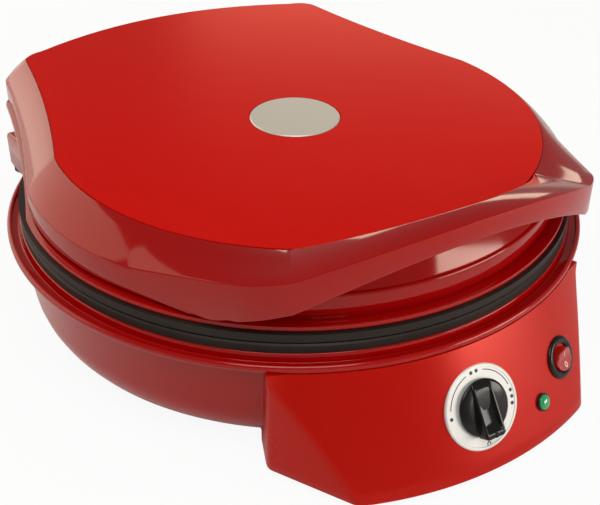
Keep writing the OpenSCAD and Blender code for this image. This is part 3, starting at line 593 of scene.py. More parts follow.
class LidForm:
    """Outlines of the lid moulding, in metres round the lid centre."""

    CREASE = 98.0           # degrees from the front where the flare to the rear starts
    BOW = 0.003             # inward bow of the flare
    POCKET = 0.00035        # clearance round the top plate
    DECK = 0.004            # top plate down to the underside of the deck
    WALL = 0.0035           # thickness of the sloped band
    GROOVE = 0.002          # height of the groove over the rim
    GROOVE_IN = 0.003       # depth of the groove behind the crest
    DRUM_IN = 0.001         # depth of the groove behind the drum
    DRUM_DROP = 0.0195      # top plate down to the drum under the handle
    RIM_HEIGHT = 0.0035     # height of the lower rim
    STEP = 0.0003           # smallest step between two edges
    BAND_SHARE = 0.42       # share of the band's drop at the middle of its width
    BAR_SHARE = 0.87        # share of the handle's half width that the free bar takes
    SIDE_START = 0.16       # share of the handle's side that its rounded corner takes
    CORNER_FROM = 0.4       # degrees from the recess's end to the handle's corner
    CORNER_TURN = 2.8       # degrees that the corner's stations reach past its tip
    SIDE_FROM = 3.2         # degrees from the tip to the first station of the side
    CLOSING = 3.5           # the overhang under the handle ends at 1 / CLOSING of the side
    RECESS_STEPS = 16       # stations over half of the recess
    CORNER_STEPS = 8        # stations on a handle corner
    SIDE_STEPS = 14         # stations on a handle side
    PLAIN_STEPS = 18        # stations between the handle and the flare, 2 degrees apart

    def __init__(self, sizes):
        self.s = sizes
        self.crest_z = sizes.top - sizes.band_drop
        self.groove_top = self.crest_z - sizes.lip_height
        self.groove_low = self.groove_top - self.GROOVE
        self.rim_low = self.groove_low - self.RIM_HEIGHT
        self.drum_top = sizes.top - self.DRUM_DROP
        self.wall_high = self.crest_z - 0.004
        self.wall_low = self.crest_z - 0.008
        self.recess = math.degrees(sizes.recess_angle)
        self.root_a = math.degrees(sizes.root_angle)
        self.tip = Vector((sizes.handle_half, -sizes.handle_corner, 0))
        self.root = polar(sizes.crest_radius, self.root_a)
        rise = sizes.handle_reach - sizes.handle_corner
        self.front_r = (sizes.handle_half ** 2 + rise ** 2) / (2 * rise)
        self.end_x = self.BAR_SHARE * sizes.handle_half
        self.corner_end = self.tip + (self.root - self.tip) * self.SIDE_START
        self.tip_a = math.degrees(math.atan2(sizes.handle_half, sizes.handle_corner))

    def rear_outline(self, radius, corner_x, corner_y, rear):
        """Right half of an outline behind the crease: flare, rounded corner, rear edge."""
        start = polar(radius, self.CREASE)
        end = Vector((corner_x, corner_y - 0.006, 0))
        lean = Vector((corner_x - 0.001, corner_y + 0.005, 0))
        turn = Vector((corner_x - 0.014, corner_y + 0.007, 0))
        steps = [0, 0.03] + [i / 20 for i in range(1, 21)]
        line = [start + (end - start) * t - Vector((4 * t * (1 - t) * self.BOW, 0, 0))
                for t in steps]
        line += [bend(end, lean, turn, i / 10) for i in range(1, 11)]
        for i in range(1, 17):
            x = turn.x * (1 - i / 16)
            line.append(Vector((x, rear - (rear - turn.y) * (x / turn.x) ** 2, 0)))
        return line

    def front_y(self, x):
        """Where the handle's front edge lies, x to the side of its middle."""
        return self.front_r - self.s.handle_reach - math.sqrt(self.front_r ** 2 - x * x)

    def crest_at(self, x):
        """Height of the handle's crest."""
        drop = (self.s.handle_rise + self.s.corner_drop) * (abs(x) / self.s.handle_half) ** 2
        return self.s.top + self.s.handle_rise - drop

    def thick_at(self, x):
        """Height of the handle from its lower edge to its crest."""
        grow = self.s.corner_thick - self.s.handle_thick
        return self.s.handle_thick + grow * (abs(x) / self.s.handle_half) ** 2

    def corner_station(self, t):
        """Station on the rounded corner between the handle's front and its side."""
        bar_end = Vector((self.end_x, self.front_y(self.end_x), 0))
        edge = bend(bar_end, self.tip, self.corner_end, t)
        crest = self.crest_at(self.end_x) * (1 - t) + self.crest_at(self.s.handle_half) * t
        thick = self.thick_at(self.end_x) * (1 - t) + self.thick_at(self.s.handle_half) * t
        around = (self.recess + self.CORNER_FROM
                  + t * (self.tip_a + self.CORNER_TURN - self.recess))
        return self.station(around, "root", edge, crest, crest - thick)

    def side_station(self, t):
        """Station on the straight side of the handle."""
        share = self.SIDE_START + (1 - self.SIDE_START) * t
        crest = self.crest_at(self.s.handle_half)
        low = crest - self.thick_at(self.s.handle_half)
        crest += (self.crest_z - crest) * t
        around = self.tip_a + self.SIDE_FROM + (self.root_a - self.tip_a - self.SIDE_FROM) * t
        fall = math.sin(math.pi / 2 * min(1, t * self.CLOSING)) ** 2
        return self.station(around, "root", self.tip + (self.root - self.tip) * share, crest,
                            low - (low - self.groove_top - 0.0005) * fall)

    def station(self, around, kind, edge=None, crest=0.0, low=0.0):
        """Plan points of the plate and the crest, the kind, and the handle's edge and heights."""
        swell = self.s.plate_swell * max(0.0, math.cos(math.radians(around))) ** 2
        return (polar(self.s.plate_radius + swell, around), polar(self.s.crest_radius, around),
                kind, edge, crest, low)

    def stations(self):
        """All stations round the lid, from the front to the right and back."""
        s = self.s
        half = [self.station(self.recess * i / self.RECESS_STEPS, "recess")
                for i in range(self.RECESS_STEPS + 1)]
        half += [self.corner_station(i / self.CORNER_STEPS) for i in range(self.CORNER_STEPS + 1)]
        half += [self.side_station(i / self.SIDE_STEPS) for i in range(1, self.SIDE_STEPS + 1)]
        plain = [self.root_a + 1 + i * 2 for i in range(self.PLAIN_STEPS)] + [self.CREASE - 0.6]
        half += [self.station(around, "plain") for around in plain]
        inner = self.rear_outline(s.plate_radius, s.rear_half, s.rear_edge - 0.028, s.rear_edge)
        outer = self.rear_outline(s.crest_radius, s.rear_half + 0.012, s.rear_edge - 0.016,
                                  s.rear_edge + 0.008)
        half += [(p, c, "plain", None, 0.0, 0.0) for p, c in zip(inner, outer)]
        other = []
        for plate, crest, kind, edge, top, low in half[-2:0:-1]:
            flipped = [Vector((-v.x, v.y, 0)) if v else None for v in (plate, crest, edge)]
            other.append((flipped[0], flipped[1], kind, flipped[2], top, low))
        return half + other

    def outer_side(self, plate, crest, kind, edge, top, low):
        """Raw profile from the band down to the groove."""
        s = self.s
        u = crest.normalized()
        drum = s.drum_radius
        below = [raised(u * (drum - self.DRUM_IN), self.groove_top - self.STEP),
                 raised(u * (drum - self.DRUM_IN), self.groove_low)]
        if kind == "recess":
            return [raised(outwards(plate, 0.0010), s.top - 0.0012),
                    raised(outwards(plate, 0.0030), s.top - 0.0060),
                    raised(u * (drum - 0.0016), self.drum_top + 0.0008),
                    raised(u * drum, self.drum_top),
                    raised(u * drum, self.groove_top)] + below
        if kind == "root":
            # near the root the overhang closes, and the wall takes over the plain profile
            beyond = (edge - crest).length
            out = min(1, max(0, (0.010 - beyond) / 0.006))
            climb = min(1, max(0, (0.004 - beyond) / 0.004))
            foot = u * (drum + 0.0005) * (1 - out) + edge * out
            step = (low - 0.0005) * (1 - out) + (self.groove_top + self.STEP) * out
            inside = (u * (drum - self.DRUM_IN) * (1 - out)
                      + outwards(crest, -self.GROOVE_IN) * out)
            return [raised(plate + (edge - plate) * 0.5, (s.top + top) / 2 + (s.top - top) * 0.08),
                    raised(edge, top),
                    raised(edge, low + (self.wall_high - low) * climb),
                    raised(foot, step + (self.wall_low - step) * climb),
                    raised(u * drum * (1 - out) + edge * out, self.groove_top),
                    raised(inside, self.groove_top - self.STEP),
                    raised(inside, self.groove_low)]
        return [raised(plate + (crest - plate) * 0.5, s.top - s.band_drop * self.BAND_SHARE),
                raised(crest, self.crest_z), raised(crest, self.wall_high),
                raised(crest, self.wall_low), raised(crest, self.groove_top),
                raised(outwards(crest, -self.GROOVE_IN), self.groove_top - self.STEP),
                raised(outwards(crest, -self.GROOVE_IN), self.groove_low)]

    def inner_side(self, plate, crest, kind):
        """Raw profile inside the moulding, from the rim up to the deck."""
        s = self.s
        u = crest.normalized()
        deck_low = s.top - self.DECK
        drum = s.drum_radius
        if kind == "recess":
            return [raised(u * (drum - 0.003), self.rim_low + self.RIM_HEIGHT),
                    raised(u * (drum - 0.003), self.drum_top - 0.0025),
                    raised(u * (drum - 0.0045), self.drum_top - 0.002),
                    raised(u * (s.recess_radius - 0.004), s.top - 0.010),
                    raised(outwards(plate, -0.001), deck_low)]
        reach = crest.length - self.WALL
        return [raised(outwards(crest, -0.0055), self.rim_low + self.RIM_HEIGHT),
                raised(u * reach, self.groove_top + 0.002), raised(u * reach, self.crest_z - 0.002),
                raised(plate * 0.5 + u * reach * 0.5, deck_low - s.band_drop * self.BAND_SHARE),
                raised(outwards(plate, -0.001), deck_low)]

    def loop(self, station):
        """Profile at a station with its visible corners rounded, and where each corner starts."""
        plate, crest, kind, edge, top, low = station
        raw = [raised(outwards(plate, self.POCKET), self.s.top - 0.0015),
               raised(outwards(plate, self.POCKET), self.s.top - 0.0002)]
        raw += self.outer_side(plate, crest, kind, edge, top, low)
        rim = self.s.rim_out
        raw += [raised(outwards(crest, rim), self.groove_low - 0.0004),
                raised(outwards(crest, rim), self.rim_low + 0.0008),
                raised(outwards(crest, rim - 0.0008), self.rim_low),
                raised(outwards(crest, -0.002), self.rim_low)]
        raw += self.inner_side(plate, crest, kind)
        # rounding by corner: the same corners for every kind, so that all loops match
        rounding = {1: 0.0004, 2: 0.0008, 3: 0.0008, 4: 0.0007, 5: 0.0012, 6: 0.0006, 9: 0.0009}
        if kind == "plain":
            rounding.update({2: 0.006, 4: 0.0005, 5: 0.0005, 6: 0.0010})
        if kind == "root":
            rounding.update({2: 0.006, 4: 0.0012})
        points = []
        starts = []
        for index, corner in enumerate(raw):
            starts.append(len(points))
            if index in rounding:
                points += fillet(raw[index - 1], corner, raw[index + 1], rounding[index])
            else:
                points.append(corner)
        return points, starts

    def bar_section(self, u):
        """Section of the free handle bar: inner top, crest, lower edge, inner bottom."""
        s = self.s
        x = self.end_x * u
        edge = Vector((x, self.front_y(x), 0))
        swell = s.plate_swell * math.cos(s.recess_angle) ** 2
        wall = polar(s.plate_radius + swell + self.POCKET, self.recess + self.CORNER_FROM)
        inner_y = -(s.handle_reach - s.handle_depth)
        inner = Vector((wall.x * u, inner_y + (wall.y - inner_y) * u * u, 0))
        top = self.crest_at(x)
        low = top - self.thick_at(x)
        level = s.top + s.handle_rise * (1 - u * u) ** 1.1 - 0.0002
        corners = [raised(inner, level), raised(edge, top), raised(edge, low),
                   raised(inner, level - s.handle_thick * 0.8)]
        section = []
        for i, soft in enumerate((0.0004 + 0.0008 * (1 - u * u), 0.0009, 0.0014, 0.002)):
            section += fillet(corners[i - 1], corners[i], corners[(i + 1) % 4], soft)
        return section


class PIZZA_OT_lid(bpy.types.Operator):
    """Builds the red lid moulding with its finger recess and arched handle"""
    bl_idname = "pizza.lid"
    bl_label = "Lid moulding"

    POCKET, CREST, DRUM = 1, 3, 5      # corners of every loop, counted down from the top plate
    BAR_STEPS = 24

    def execute(self, context):
        form = LidForm(context.scene.pizza_lid)
        stations = form.stations()
        loops = [form.loop(s)[0] for s in stations]
        starts = form.loop(stations[0])[1]
        size, count = len(loops[0]), len(loops)
        points = [p for loop in loops for p in loop]
        wall_from, wall_to = starts[self.POCKET] + 2, starts[self.DRUM]
        crest_from = starts[self.CREST]
        joints = [i for i in range(count)
                  if {stations[i][2], stations[(i + 1) % count][2]} == {"recess", "root"}]
        faces = []
        for i in range(count):
            j = (i + 1) % count
            for k in range(size - 1):
                if i in joints and wall_from <= k < wall_to:
                    continue
                faces.append((i * size + k, j * size + k, j * size + k + 1, i * size + k + 1))
        faces.append([i * size for i in range(count)])
        faces.append([i * size + size - 1 for i in range(count)][::-1])
        # the free bar, stitched to the crest and lower edge of the moulding at both ends
        bars = {}
        for side in (-1, 1):
            root = [i for i in joints if (stations[i][1].x > 0) == (side > 0)][0]
            solid = root if stations[root][2] == "root" else (root + 1) % count
            hollow = (root + 1) % count if solid == root else root
            section = form.bar_section(side)
            first = len(points)
            points += section[0:3] + section[9:12]      # its inner top and inner bottom corners
            upper = [first, first + 1, first + 2]
            lower = [first + 3, first + 4, first + 5]
            bars[side] = upper + [solid * size + k for k in range(crest_from, wall_to)] + lower
            wall = [hollow * size + k for k in range(wall_from, wall_to + 1)]
            wall += [solid * size + wall_to] + lower + upper
            wall += [solid * size + k for k in range(crest_from, wall_from - 1, -1)]
            faces.append(wall)
        rows = [bars[-1]]
        for n in range(1, self.BAR_STEPS):
            section = form.bar_section(-1 + 2 * n / self.BAR_STEPS)
            rows.append(list(range(len(points), len(points) + len(section))))
            points += section
        rows.append(bars[1])
        for a, b in zip(rows, rows[1:]):
            for k in range(len(a)):
                m = (k + 1) % len(a)
                faces.append((a[k], b[k], b[m], a[m]))
        piece_from("lid_moulding", points, faces, gloss_red(), "lid", "lid_shell",
                   38.0)
        return {"FINISHED"}


# ------------------------------------------------------------------ base mouldings

LATHE_RADIUS = 1.0     # circle that carries a turned profile; its points are measured from it


def geometry_tree(name, inputs):
    """A geometry tree with named inputs, and the socket where its shape is handed in.

    It ends in Realize Instances and Set Material.
    """
    tree = bpy.data.node_groups.new(name, "GeometryNodeTree")
    face = tree.interface
    face.new_socket("Geometry", in_out="INPUT", socket_type="NodeSocketGeometry")
    for label, kind, default in inputs:
        face.new_socket(label, in_out="INPUT", socket_type=kind).default_value = default
    face.new_socket("Material", in_out="INPUT", socket_type="NodeSocketMaterial")
    face.new_socket("Geometry", in_out="OUTPUT", socket_type="NodeSocketGeometry")
    link = tree.links.new
    source = tree.nodes.new("NodeGroupInput")
    sink = tree.nodes.new("NodeGroupOutput")
    real = tree.nodes.new("GeometryNodeRealizeInstances")
    paint = tree.nodes.new("GeometryNodeSetMaterial")
    link(real.outputs["Geometry"], paint.inputs["Geometry"])
    link(source.outputs["Material"], paint.inputs["Material"])
    link(paint.outputs["Geometry"], sink.inputs["Geometry"])
    return tree, source.outputs, real.inputs["Geometry"]


def lathe_tree():
    """Geometry nodes that turn an edge profile round the Z axis."""
    tree, given, shape = geometry_tree("lathe", [("Segments", "NodeSocketInt", 240)])
    link = tree.links.new
    profile = tree.nodes.new("GeometryNodeMeshToCurve")
    path = tree.nodes.new("GeometryNodeCurvePrimitiveCircle")
    path.inputs["Radius"].default_value = LATHE_RADIUS
    sweep = tree.nodes.new("GeometryNodeCurveToMesh")
    link(given["Geometry"], profile.inputs["Mesh"])
    link(given["Segments"], path.inputs["Resolution"])
    link(path.outputs["Curve"], sweep.inputs["Curve"])
    link(profile.outputs["Curve"], sweep.inputs["Profile Curve"])
    link(sweep.outputs["Mesh"], shape)
    return tree


def grown(name, mesh, tree, **inputs):
    """The mesh that a geometry tree makes from another mesh."""
    source = linked(name, mesh)
    modifier = source.modifiers.new(name, "NODES")
    modifier.node_group = tree
    sockets = {item.name: item.identifier for item in tree.interface.items_tree
               if item.item_type == "SOCKET" and item.in_out == "INPUT"}
    for label, value in inputs.items():
        modifier[sockets[label.replace("_", " ")]] = value
    return evaluated_mesh(source)


def turned(name, profile, segments, material, body, node, sharp=30.0, matrix=None):
    """A turned piece from (radius, height) points, closed round its profile."""
    count = len(profile)
    line = bpy.data.meshes.new(name + "_profile")
    # on the lathe's circle the profile has X outwards and Y down
    line.from_pydata([(r - LATHE_RADIUS, -z, 0) for r, z in profile],
                     [(i, (i + 1) % count) for i in range(count)], [])
    mesh = grown(name + "_source", line, bpy.data.node_groups.get("lathe") or lathe_tree(),
                 Segments=segments, Material=material)
    work = bmesh.new()
    work.from_mesh(mesh)
    bmesh.ops.remove_doubles(work, verts=work.verts, dist=MERGE)
    bmesh.ops.dissolve_degenerate(work, edges=work.edges, dist=MERGE)
    if matrix:
        work.transform(matrix)
    work.transform(Matrix.Translation((0, CENTRE_Y, 0)))
    bmesh.ops.recalc_face_normals(work, faces=work.faces)
    work.to_mesh(mesh)
    work.free()
    finished(name, mesh, material, body, node, sharp)


def rounded_profile(corners):
    """Profile from (radius, height, rounding) corners."""
    points = []
    places = [Vector((r, z, 0)) for r, z, _ in corners]
    for i, (r, z, soft) in enumerate(corners):
        if soft:
            after = places[(i + 1) % len(places)]
            points += [(p.x, p.y) for p in fillet(places[i - 1], places[i], after, soft, 4)]
        else:
            points.append((r, z))
    return points


class PIZZA_OT_bowl(bpy.types.Operator):
    """Turns the round bowl of the base with its flange"""
    bl_idname = "pizza.bowl"
    bl_label = "Bowl"

    LOW = 0.008            # underside of the bowl over the floor
    COVER = 0.1344         # radius of the bottom cover's edge
    LEDGE = 0.126          # inner radius of the ring over the cover

    def execute(self, context):
        b = context.scene.pizza_base
        low, top = self.LOW, b.rim_top
        flange, bowl = b.rim_radius, b.bowl_radius
        # radius, height and rounding: up the outside, over the flange and down the inside
        corners = [
            (self.COVER, low, 0.0003), (0.139, low, 0.003), (0.148, low + 0.0045, 0.006),
            (bowl - 0.003, low + 0.016, 0.008), (bowl, top - 0.005, 0.0008),
            (flange - 0.002, top - 0.005, 0.0005), (flange, top - 0.0035, 0.001),
            (flange, top - 0.001, 0.0008), (flange - 0.001, top, 0.0005),
            (flange - 0.0025, top, 0.0005), (flange - 0.0025, top - 0.0025, 0.0004),
            (bowl + 0.0005, top - 0.0025, 0.0004), (bowl - 0.0005, top + 0.002, 0.0005),
            (0.1515, top + 0.002, 0.0003), (0.1515, top - 0.0015, 0),
            (bowl - 0.0035, top - 0.005, 0), (bowl - 0.006, low + 0.018, 0.004),
            (0.1475, low + 0.0095, 0.004), (0.138, low + 0.004, 0), (self.LEDGE, low + 0.004, 0),
            (self.LEDGE, low + 0.0015, 0), (self.COVER, low + 0.0015, 0)]
        turned("base_bowl", rounded_profile(corners), b.segments, gloss_red(), "base",
               "base_shell")
        return {"FINISHED"}


# right half of the housing's plan: under the bowl, its widest place, and towards the panel
HOUSING_REAR = (0.088, -0.118)
HOUSING_KNEE = (0.0955, -0.137)
HOUSING_FRONT = (0.0695, -0.182)


def housing_loop(base, z, inset):
    """Plan outline of the control housing at height z, moved inwards by inset."""
    radius = panel_radius(base, z) - inset * 1.2
    rear = Vector((HOUSING_REAR[0] - inset, HOUSING_REAR[1], 0))
    knee = Vector((HOUSING_KNEE[0] - inset, HOUSING_KNEE[1] + inset * 0.6, 0))
    front = Vector((HOUSING_FRONT[0] - inset, HOUSING_FRONT[1], 0))
    far = knee + (front - knee) * 3
    # the corner is where the side reaches the panel's radius, found by halving
    low, high = 0.0, 1.0
    for _ in range(40):
        mid = (low + high) / 2
        if (knee + (far - knee) * mid).length < radius:
            low = mid
        else:
            high = mid
    corner = knee + (far - knee) * low
    start = math.degrees(math.atan2(corner.x, -corner.y))
    arc = [polar(radius, start * (1 - 2 * i / 60)) for i in range(61)]
    right = [rear] + fillet(rear, knee, corner, 0.003, 4) + fillet(knee, corner, arc[3], 0.0032, 4)
    left = [Vector((-p.x, p.y, 0)) for p in reversed(right)]
    return [raised(p, z) for p in right + arc[3:-3] + left]


class PIZZA_OT_housing(bpy.types.Operator):
    """Builds the control housing with its sloped panel"""
    bl_idname = "pizza.housing"
    bl_label = "Control housing"

    SOFT = 0.001           # height of the softened lower edge
    INNER = 0.006          # height of the wall's inner face
    ROWS = 10              # steps up the panel

    def execute(self, context):
        b = context.scene.pizza_base
        low, top = b.panel_low, b.panel_top
        loops = [housing_loop(b, z, inset) for z, inset in (
            (low + self.INNER, b.wall), (low, b.wall), (low, 0.0009), (low + 0.0003, 0.0003),
            (low + self.SOFT, 0.0))]
        loops += [housing_loop(b, low + self.SOFT + (top - low - self.SOFT) * i / self.ROWS, 0.0)
                  for i in range(1, self.ROWS + 1)]
        points = [p for loop in loops for p in loop]
        faces = ring_faces(loops) + end_faces(len(loops[0]), len(loops))
        piece_from("control_housing", points, faces, panel_red(), "base", "base_shell",
                   32.0)
        return {"FINISHED"}


def extruded(name, outline, x_low, x_high, soft):
    """A red side profile in Y and Z given thickness along X, with softened edges."""
    count = len(outline)
    points = [Vector((x, y, z)) for x in (x_low, x_high) for y, z in outline]
    faces = [list(range(count)), list(range(2 * count - 1, count - 1, -1))]
    faces += [(i, (i + 1) % count, count + (i + 1) % count, count + i) for i in range(count)]
    mesh = bpy.data.meshes.new(name)
    mesh.from_pydata([(p.x, p.y + CENTRE_Y, p.z) for p in points], [], faces)
    work = bmesh.new()
    work.from_mesh(mesh)
    bmesh.ops.recalc_face_normals(work, faces=work.faces)
    work.to_mesh(mesh)
    work.free()
    source = linked(name + "_source", mesh)
    bevel = source.modifiers.new("soft edges", "BEVEL")
    bevel.width = soft
    bevel.segments = 3
    bevel.limit_method = "ANGLE"
    bevel.angle_limit = math.radians(25)
    mesh = evaluated_mesh(source)
    finished(name, mesh, gloss_red(), "base", "base_shell")


class PIZZA_OT_rear(bpy.types.Operator):
    """Builds the rear legs and the hinge blocks of the base"""
    bl_idname = "pizza.rear"
    bl_label = "Legs and hinge blocks"

    LEG_X = 0.099          # middle of a leg, to the side of the lid centre
    LEG_HALF = 0.007       # half the thickness of a leg
    BLOCK_HALF = 0.013     # half the width of a hinge block

    def execute(self, context):
        end = BASE_HIGH.y - CENTRE_Y
        leg = [(0.112, 0.046), (0.140, 0.046), (end - 0.024, 0.034), (end - 0.003, 0.030),
               (end, 0.027), (end, FOOT_HEIGHT), (end - 0.017, FOOT_HEIGHT), (0.150, 0.016),
               (0.100, 0.018)]
        top = context.scene.pizza_base.rim_top - 0.005
        for side, label in ((-1, "left"), (1, "right")):
            extruded(f"rear_leg_{label}", leg, side * self.LEG_X - self.LEG_HALF,
                     side * self.LEG_X + self.LEG_HALF, 0.0018)
            low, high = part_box(f"hinge_pin_{label}")
            middle = (low.x + high.x) / 2
            front = (low.y + high.y) / 2 - CENTRE_Y - 0.002
            block = [(0.140, top), (front, top), (front, top - 0.010), (0.158, 0.028),
                     (0.140, 0.028)]
            extruded(f"hinge_block_{label}", block, middle - self.BLOCK_HALF,
                     middle + self.BLOCK_HALF, 0.0015)
        return {"FINISHED"}


# ------------------------------------------------------------------ controls

def ribbon(path, width, low, high, loop=False):
    """Rows of a flat printed line along a path, with its thickness from low to high."""
    rows = []
    count = len(path)
    for i, here in enumerate(path):
        before = path[i - 1] if loop or i else here
        after = path[(i + 1) % count] if loop or i < count - 1 else here
        along = (after - before).normalized()
        side = Vector((-along.y, along.x, 0)) * width / 2
        rows.append([raised(here - side, low), raised(here - side, high),
                     raised(here + side, high), raised(here + side, low)])
    return rows


def line_mesh(parts):
    """Points and faces of several ribbons: parts holds (rows, loop) pairs."""
    points, faces = [], []
    for rows, loop in parts:
        first = len(points)
        points += [p for row in rows for p in row]
        mine = ring_faces(rows, closed=loop)
        if not loop:
            mine += end_faces(len(rows[0]), len(rows))
        faces += [[first + k for k in face] for face in mine]
    return points, faces


def oval(x, y, half_x, half_y, steps=32):
    """Points round an oval."""
    turns = [2 * math.pi * i / steps for i in range(steps)]
    return [Vector((x + half_x * math.cos(t), y + half_y * math.sin(t), 0)) for t in turns]


class PIZZA_OT_knob(bpy.types.Operator):
    """Builds the thermostat knob: low body, wedge with a hollow top, rib and spindle end"""
    bl_idname = "pizza.knob"
    bl_label = "Knob"

    FOOT = 0.0009          # underside of the knob over the panel
    HALF = 0.0062          # half the width of the grip
    DIP = 0.0020           # depth of the hollow along the grip
    ROWS = 40              # steps along the grip
    RIB_LENGTH = 0.003
    RIB_WIDTH = 0.0012
    SHAFT_RADIUS = 0.003
    SHAFT_LOW = -0.012     # inner end of the spindle, under the panel

    def body(self, r):
        """Profile of the round body."""
        foot = self.FOOT
        return rounded_profile([
            (0.0, foot, 0), (r - 0.0004, foot, 0.0003), (r, foot + 0.001, 0.0004),
            (r - 0.0012, foot + 0.0018, 0.0008), (r - 0.0045, foot + 0.0023, 0.0014),
            (0.0, foot + 0.0024, 0)])

    def grip_row(self, share, r, nose_height, heel_height):
        """Section of the grip at a share of its length from the nose to the heel."""
        foot = self.FOOT
        y = -r + 0.0004 + (2 * r - 0.0016) * share
        nose = max(0.0, 1 - share / 0.09)
        heel = max(0.0, (share - 0.88) / 0.12)
        width = self.HALF * (1 - 0.14 * nose ** 2 - 0.12 * heel ** 2)
        crown = (foot + nose_height - (nose_height - heel_height) * share
                 - 0.0010 * nose ** 2 - 0.0008 * heel ** 2)
        dip = self.DIP * min(1.0, max(0.0, min(share - 0.1, 0.9 - share) / 0.12)) ** 0.7
        ridge = width * 0.9
        left = [Vector((x, y, z)) for x, z in (
            (-width, foot + 0.0004), (-width * 0.93, crown - 0.0012), (-ridge, crown - 0.0002),
            (-ridge + 0.0004, crown), (-ridge + 0.0009, crown),
            (-ridge + 0.0013, crown - dip * 0.4), (-ridge + 0.0019, crown - dip),
            (-width * 0.25, crown - dip * 1.3))]
        return left + [Vector((-v.x, v.y, v.z)) for v in reversed(left)]

    def execute(self, context):
        b, c = context.scene.pizza_base, context.scene.pizza_controls
        matrix = panel_matrix(b, 0.0, c.dial_height)
        r = c.knob_radius
        turned("knob_body", self.body(r), 96, gloss_black(), "knob", "knob",
               matrix=matrix)
        rows = [self.grip_row(n / self.ROWS, r, c.knob_height, c.knob_heel)
                for n in range(self.ROWS + 1)]
        points = on_panel(matrix, [p for row in rows for p in row])
        faces = ring_faces(rows) + end_faces(len(rows[0]), len(rows))
        piece_from("knob_grip", points, faces, gloss_black(), "knob", "knob", 32.0)
        top = self.FOOT + c.knob_height
        path = [Vector((0, -r + 0.0006 + self.RIB_LENGTH * i / 6, 0)) for i in range(7)]
        rib = ribbon(path, self.RIB_WIDTH, top - 0.0022, top - 0.0001)
        points, faces = line_mesh([(rib, False)])
        piece_from("pointer_rib", on_panel(matrix, points), faces, gloss_black(), "knob",
                   "knob_pointer")
        radius, low, high = self.SHAFT_RADIUS, self.SHAFT_LOW, self.FOOT + 0.0018
        shaft = rounded_profile([(0.0, low, 0), (radius, low, 0.0002), (radius, high, 0.0002),
                                 (0.0, high, 0)])
        turned("spindle_end", shaft, 48, zinc_steel(), "knob", "thermostat_spindle",
               matrix=matrix)
        return {"FINISHED"}


def dots_tree():
    """Geometry nodes that put one small printed dot on each point."""
    tree, given, shape = geometry_tree("printed_dots", [("Dot Radius", "NodeSocketFloat", 0.001),
                                                        ("Dot Height", "NodeSocketFloat", 0.0001)])
    link = tree.links.new
    dot = tree.nodes.new("GeometryNodeMeshCylinder")
    dot.inputs["Vertices"].default_value = 24
    place = tree.nodes.new("GeometryNodeInstanceOnPoints")
    link(given["Dot Radius"], dot.inputs["Radius"])
    link(given["Dot Height"], dot.inputs["Depth"])
    link(given["Geometry"], place.inputs["Points"])
    link(dot.outputs["Mesh"], place.inputs["Instance"])
    link(place.outputs["Instances"], shape)
    return tree


class PIZZA_OT_dial(bpy.types.Operator):
    """Prints the heat marks on the dial: dots, two arcs and a zero"""
    bl_idname = "pizza.dial"
    bl_label = "Dial marks"

    LOW, HIGH = 0.00005, 0.00016              # the print over the dial plate
    LINE = 0.0005                             # width of a printed line
    DOTS = (-90, -8, 2, 82, 92.5, 103)        # degrees: one left, two at the top, three right
    ARCS = ((-77, -18), (14, 72))             # ends of the two arcs in degrees
    ARC_STEPS = 30

    def execute(self, context):
        b, c = context.scene.pizza_base, context.scene.pizza_controls
        matrix = panel_matrix(b, 0.0, c.dial_height)
        ring = c.mark_radius

        def mark(degrees):
            a = math.radians(degrees)
            return Vector((ring * math.sin(a), ring * math.cos(a), 0))

        places = bpy.data.meshes.new("dot_places")
        places.from_pydata([raised(mark(a), (self.LOW + self.HIGH) / 2) for a in self.DOTS], [], [])
        dots = grown("dot_places", places, dots_tree(), Dot_Radius=c.dot_radius,
                     Dot_Height=self.HIGH - self.LOW, Material=black_print())
        dots.transform(Matrix.Translation((0, CENTRE_Y, 0)) @ matrix)
        finished("dial_dots", dots, black_print(), "base", None)

        parts = []
        for start, end in self.ARCS:
            arc = [mark(start + (end - start) * i / self.ARC_STEPS)
                   for i in range(self.ARC_STEPS + 1)]
            parts.append((ribbon(arc, self.LINE, self.LOW, self.HIGH), False))
        zero = oval(0, -ring - 0.0010, 0.0009, 0.0015)
        parts.append((ribbon(zero, self.LINE, self.LOW, self.HIGH, True), True))
        points, faces = line_mesh(parts)
        piece_from("dial_lines", on_panel(matrix, points), faces, black_print(), "base", None)
        return {"FINISHED"}


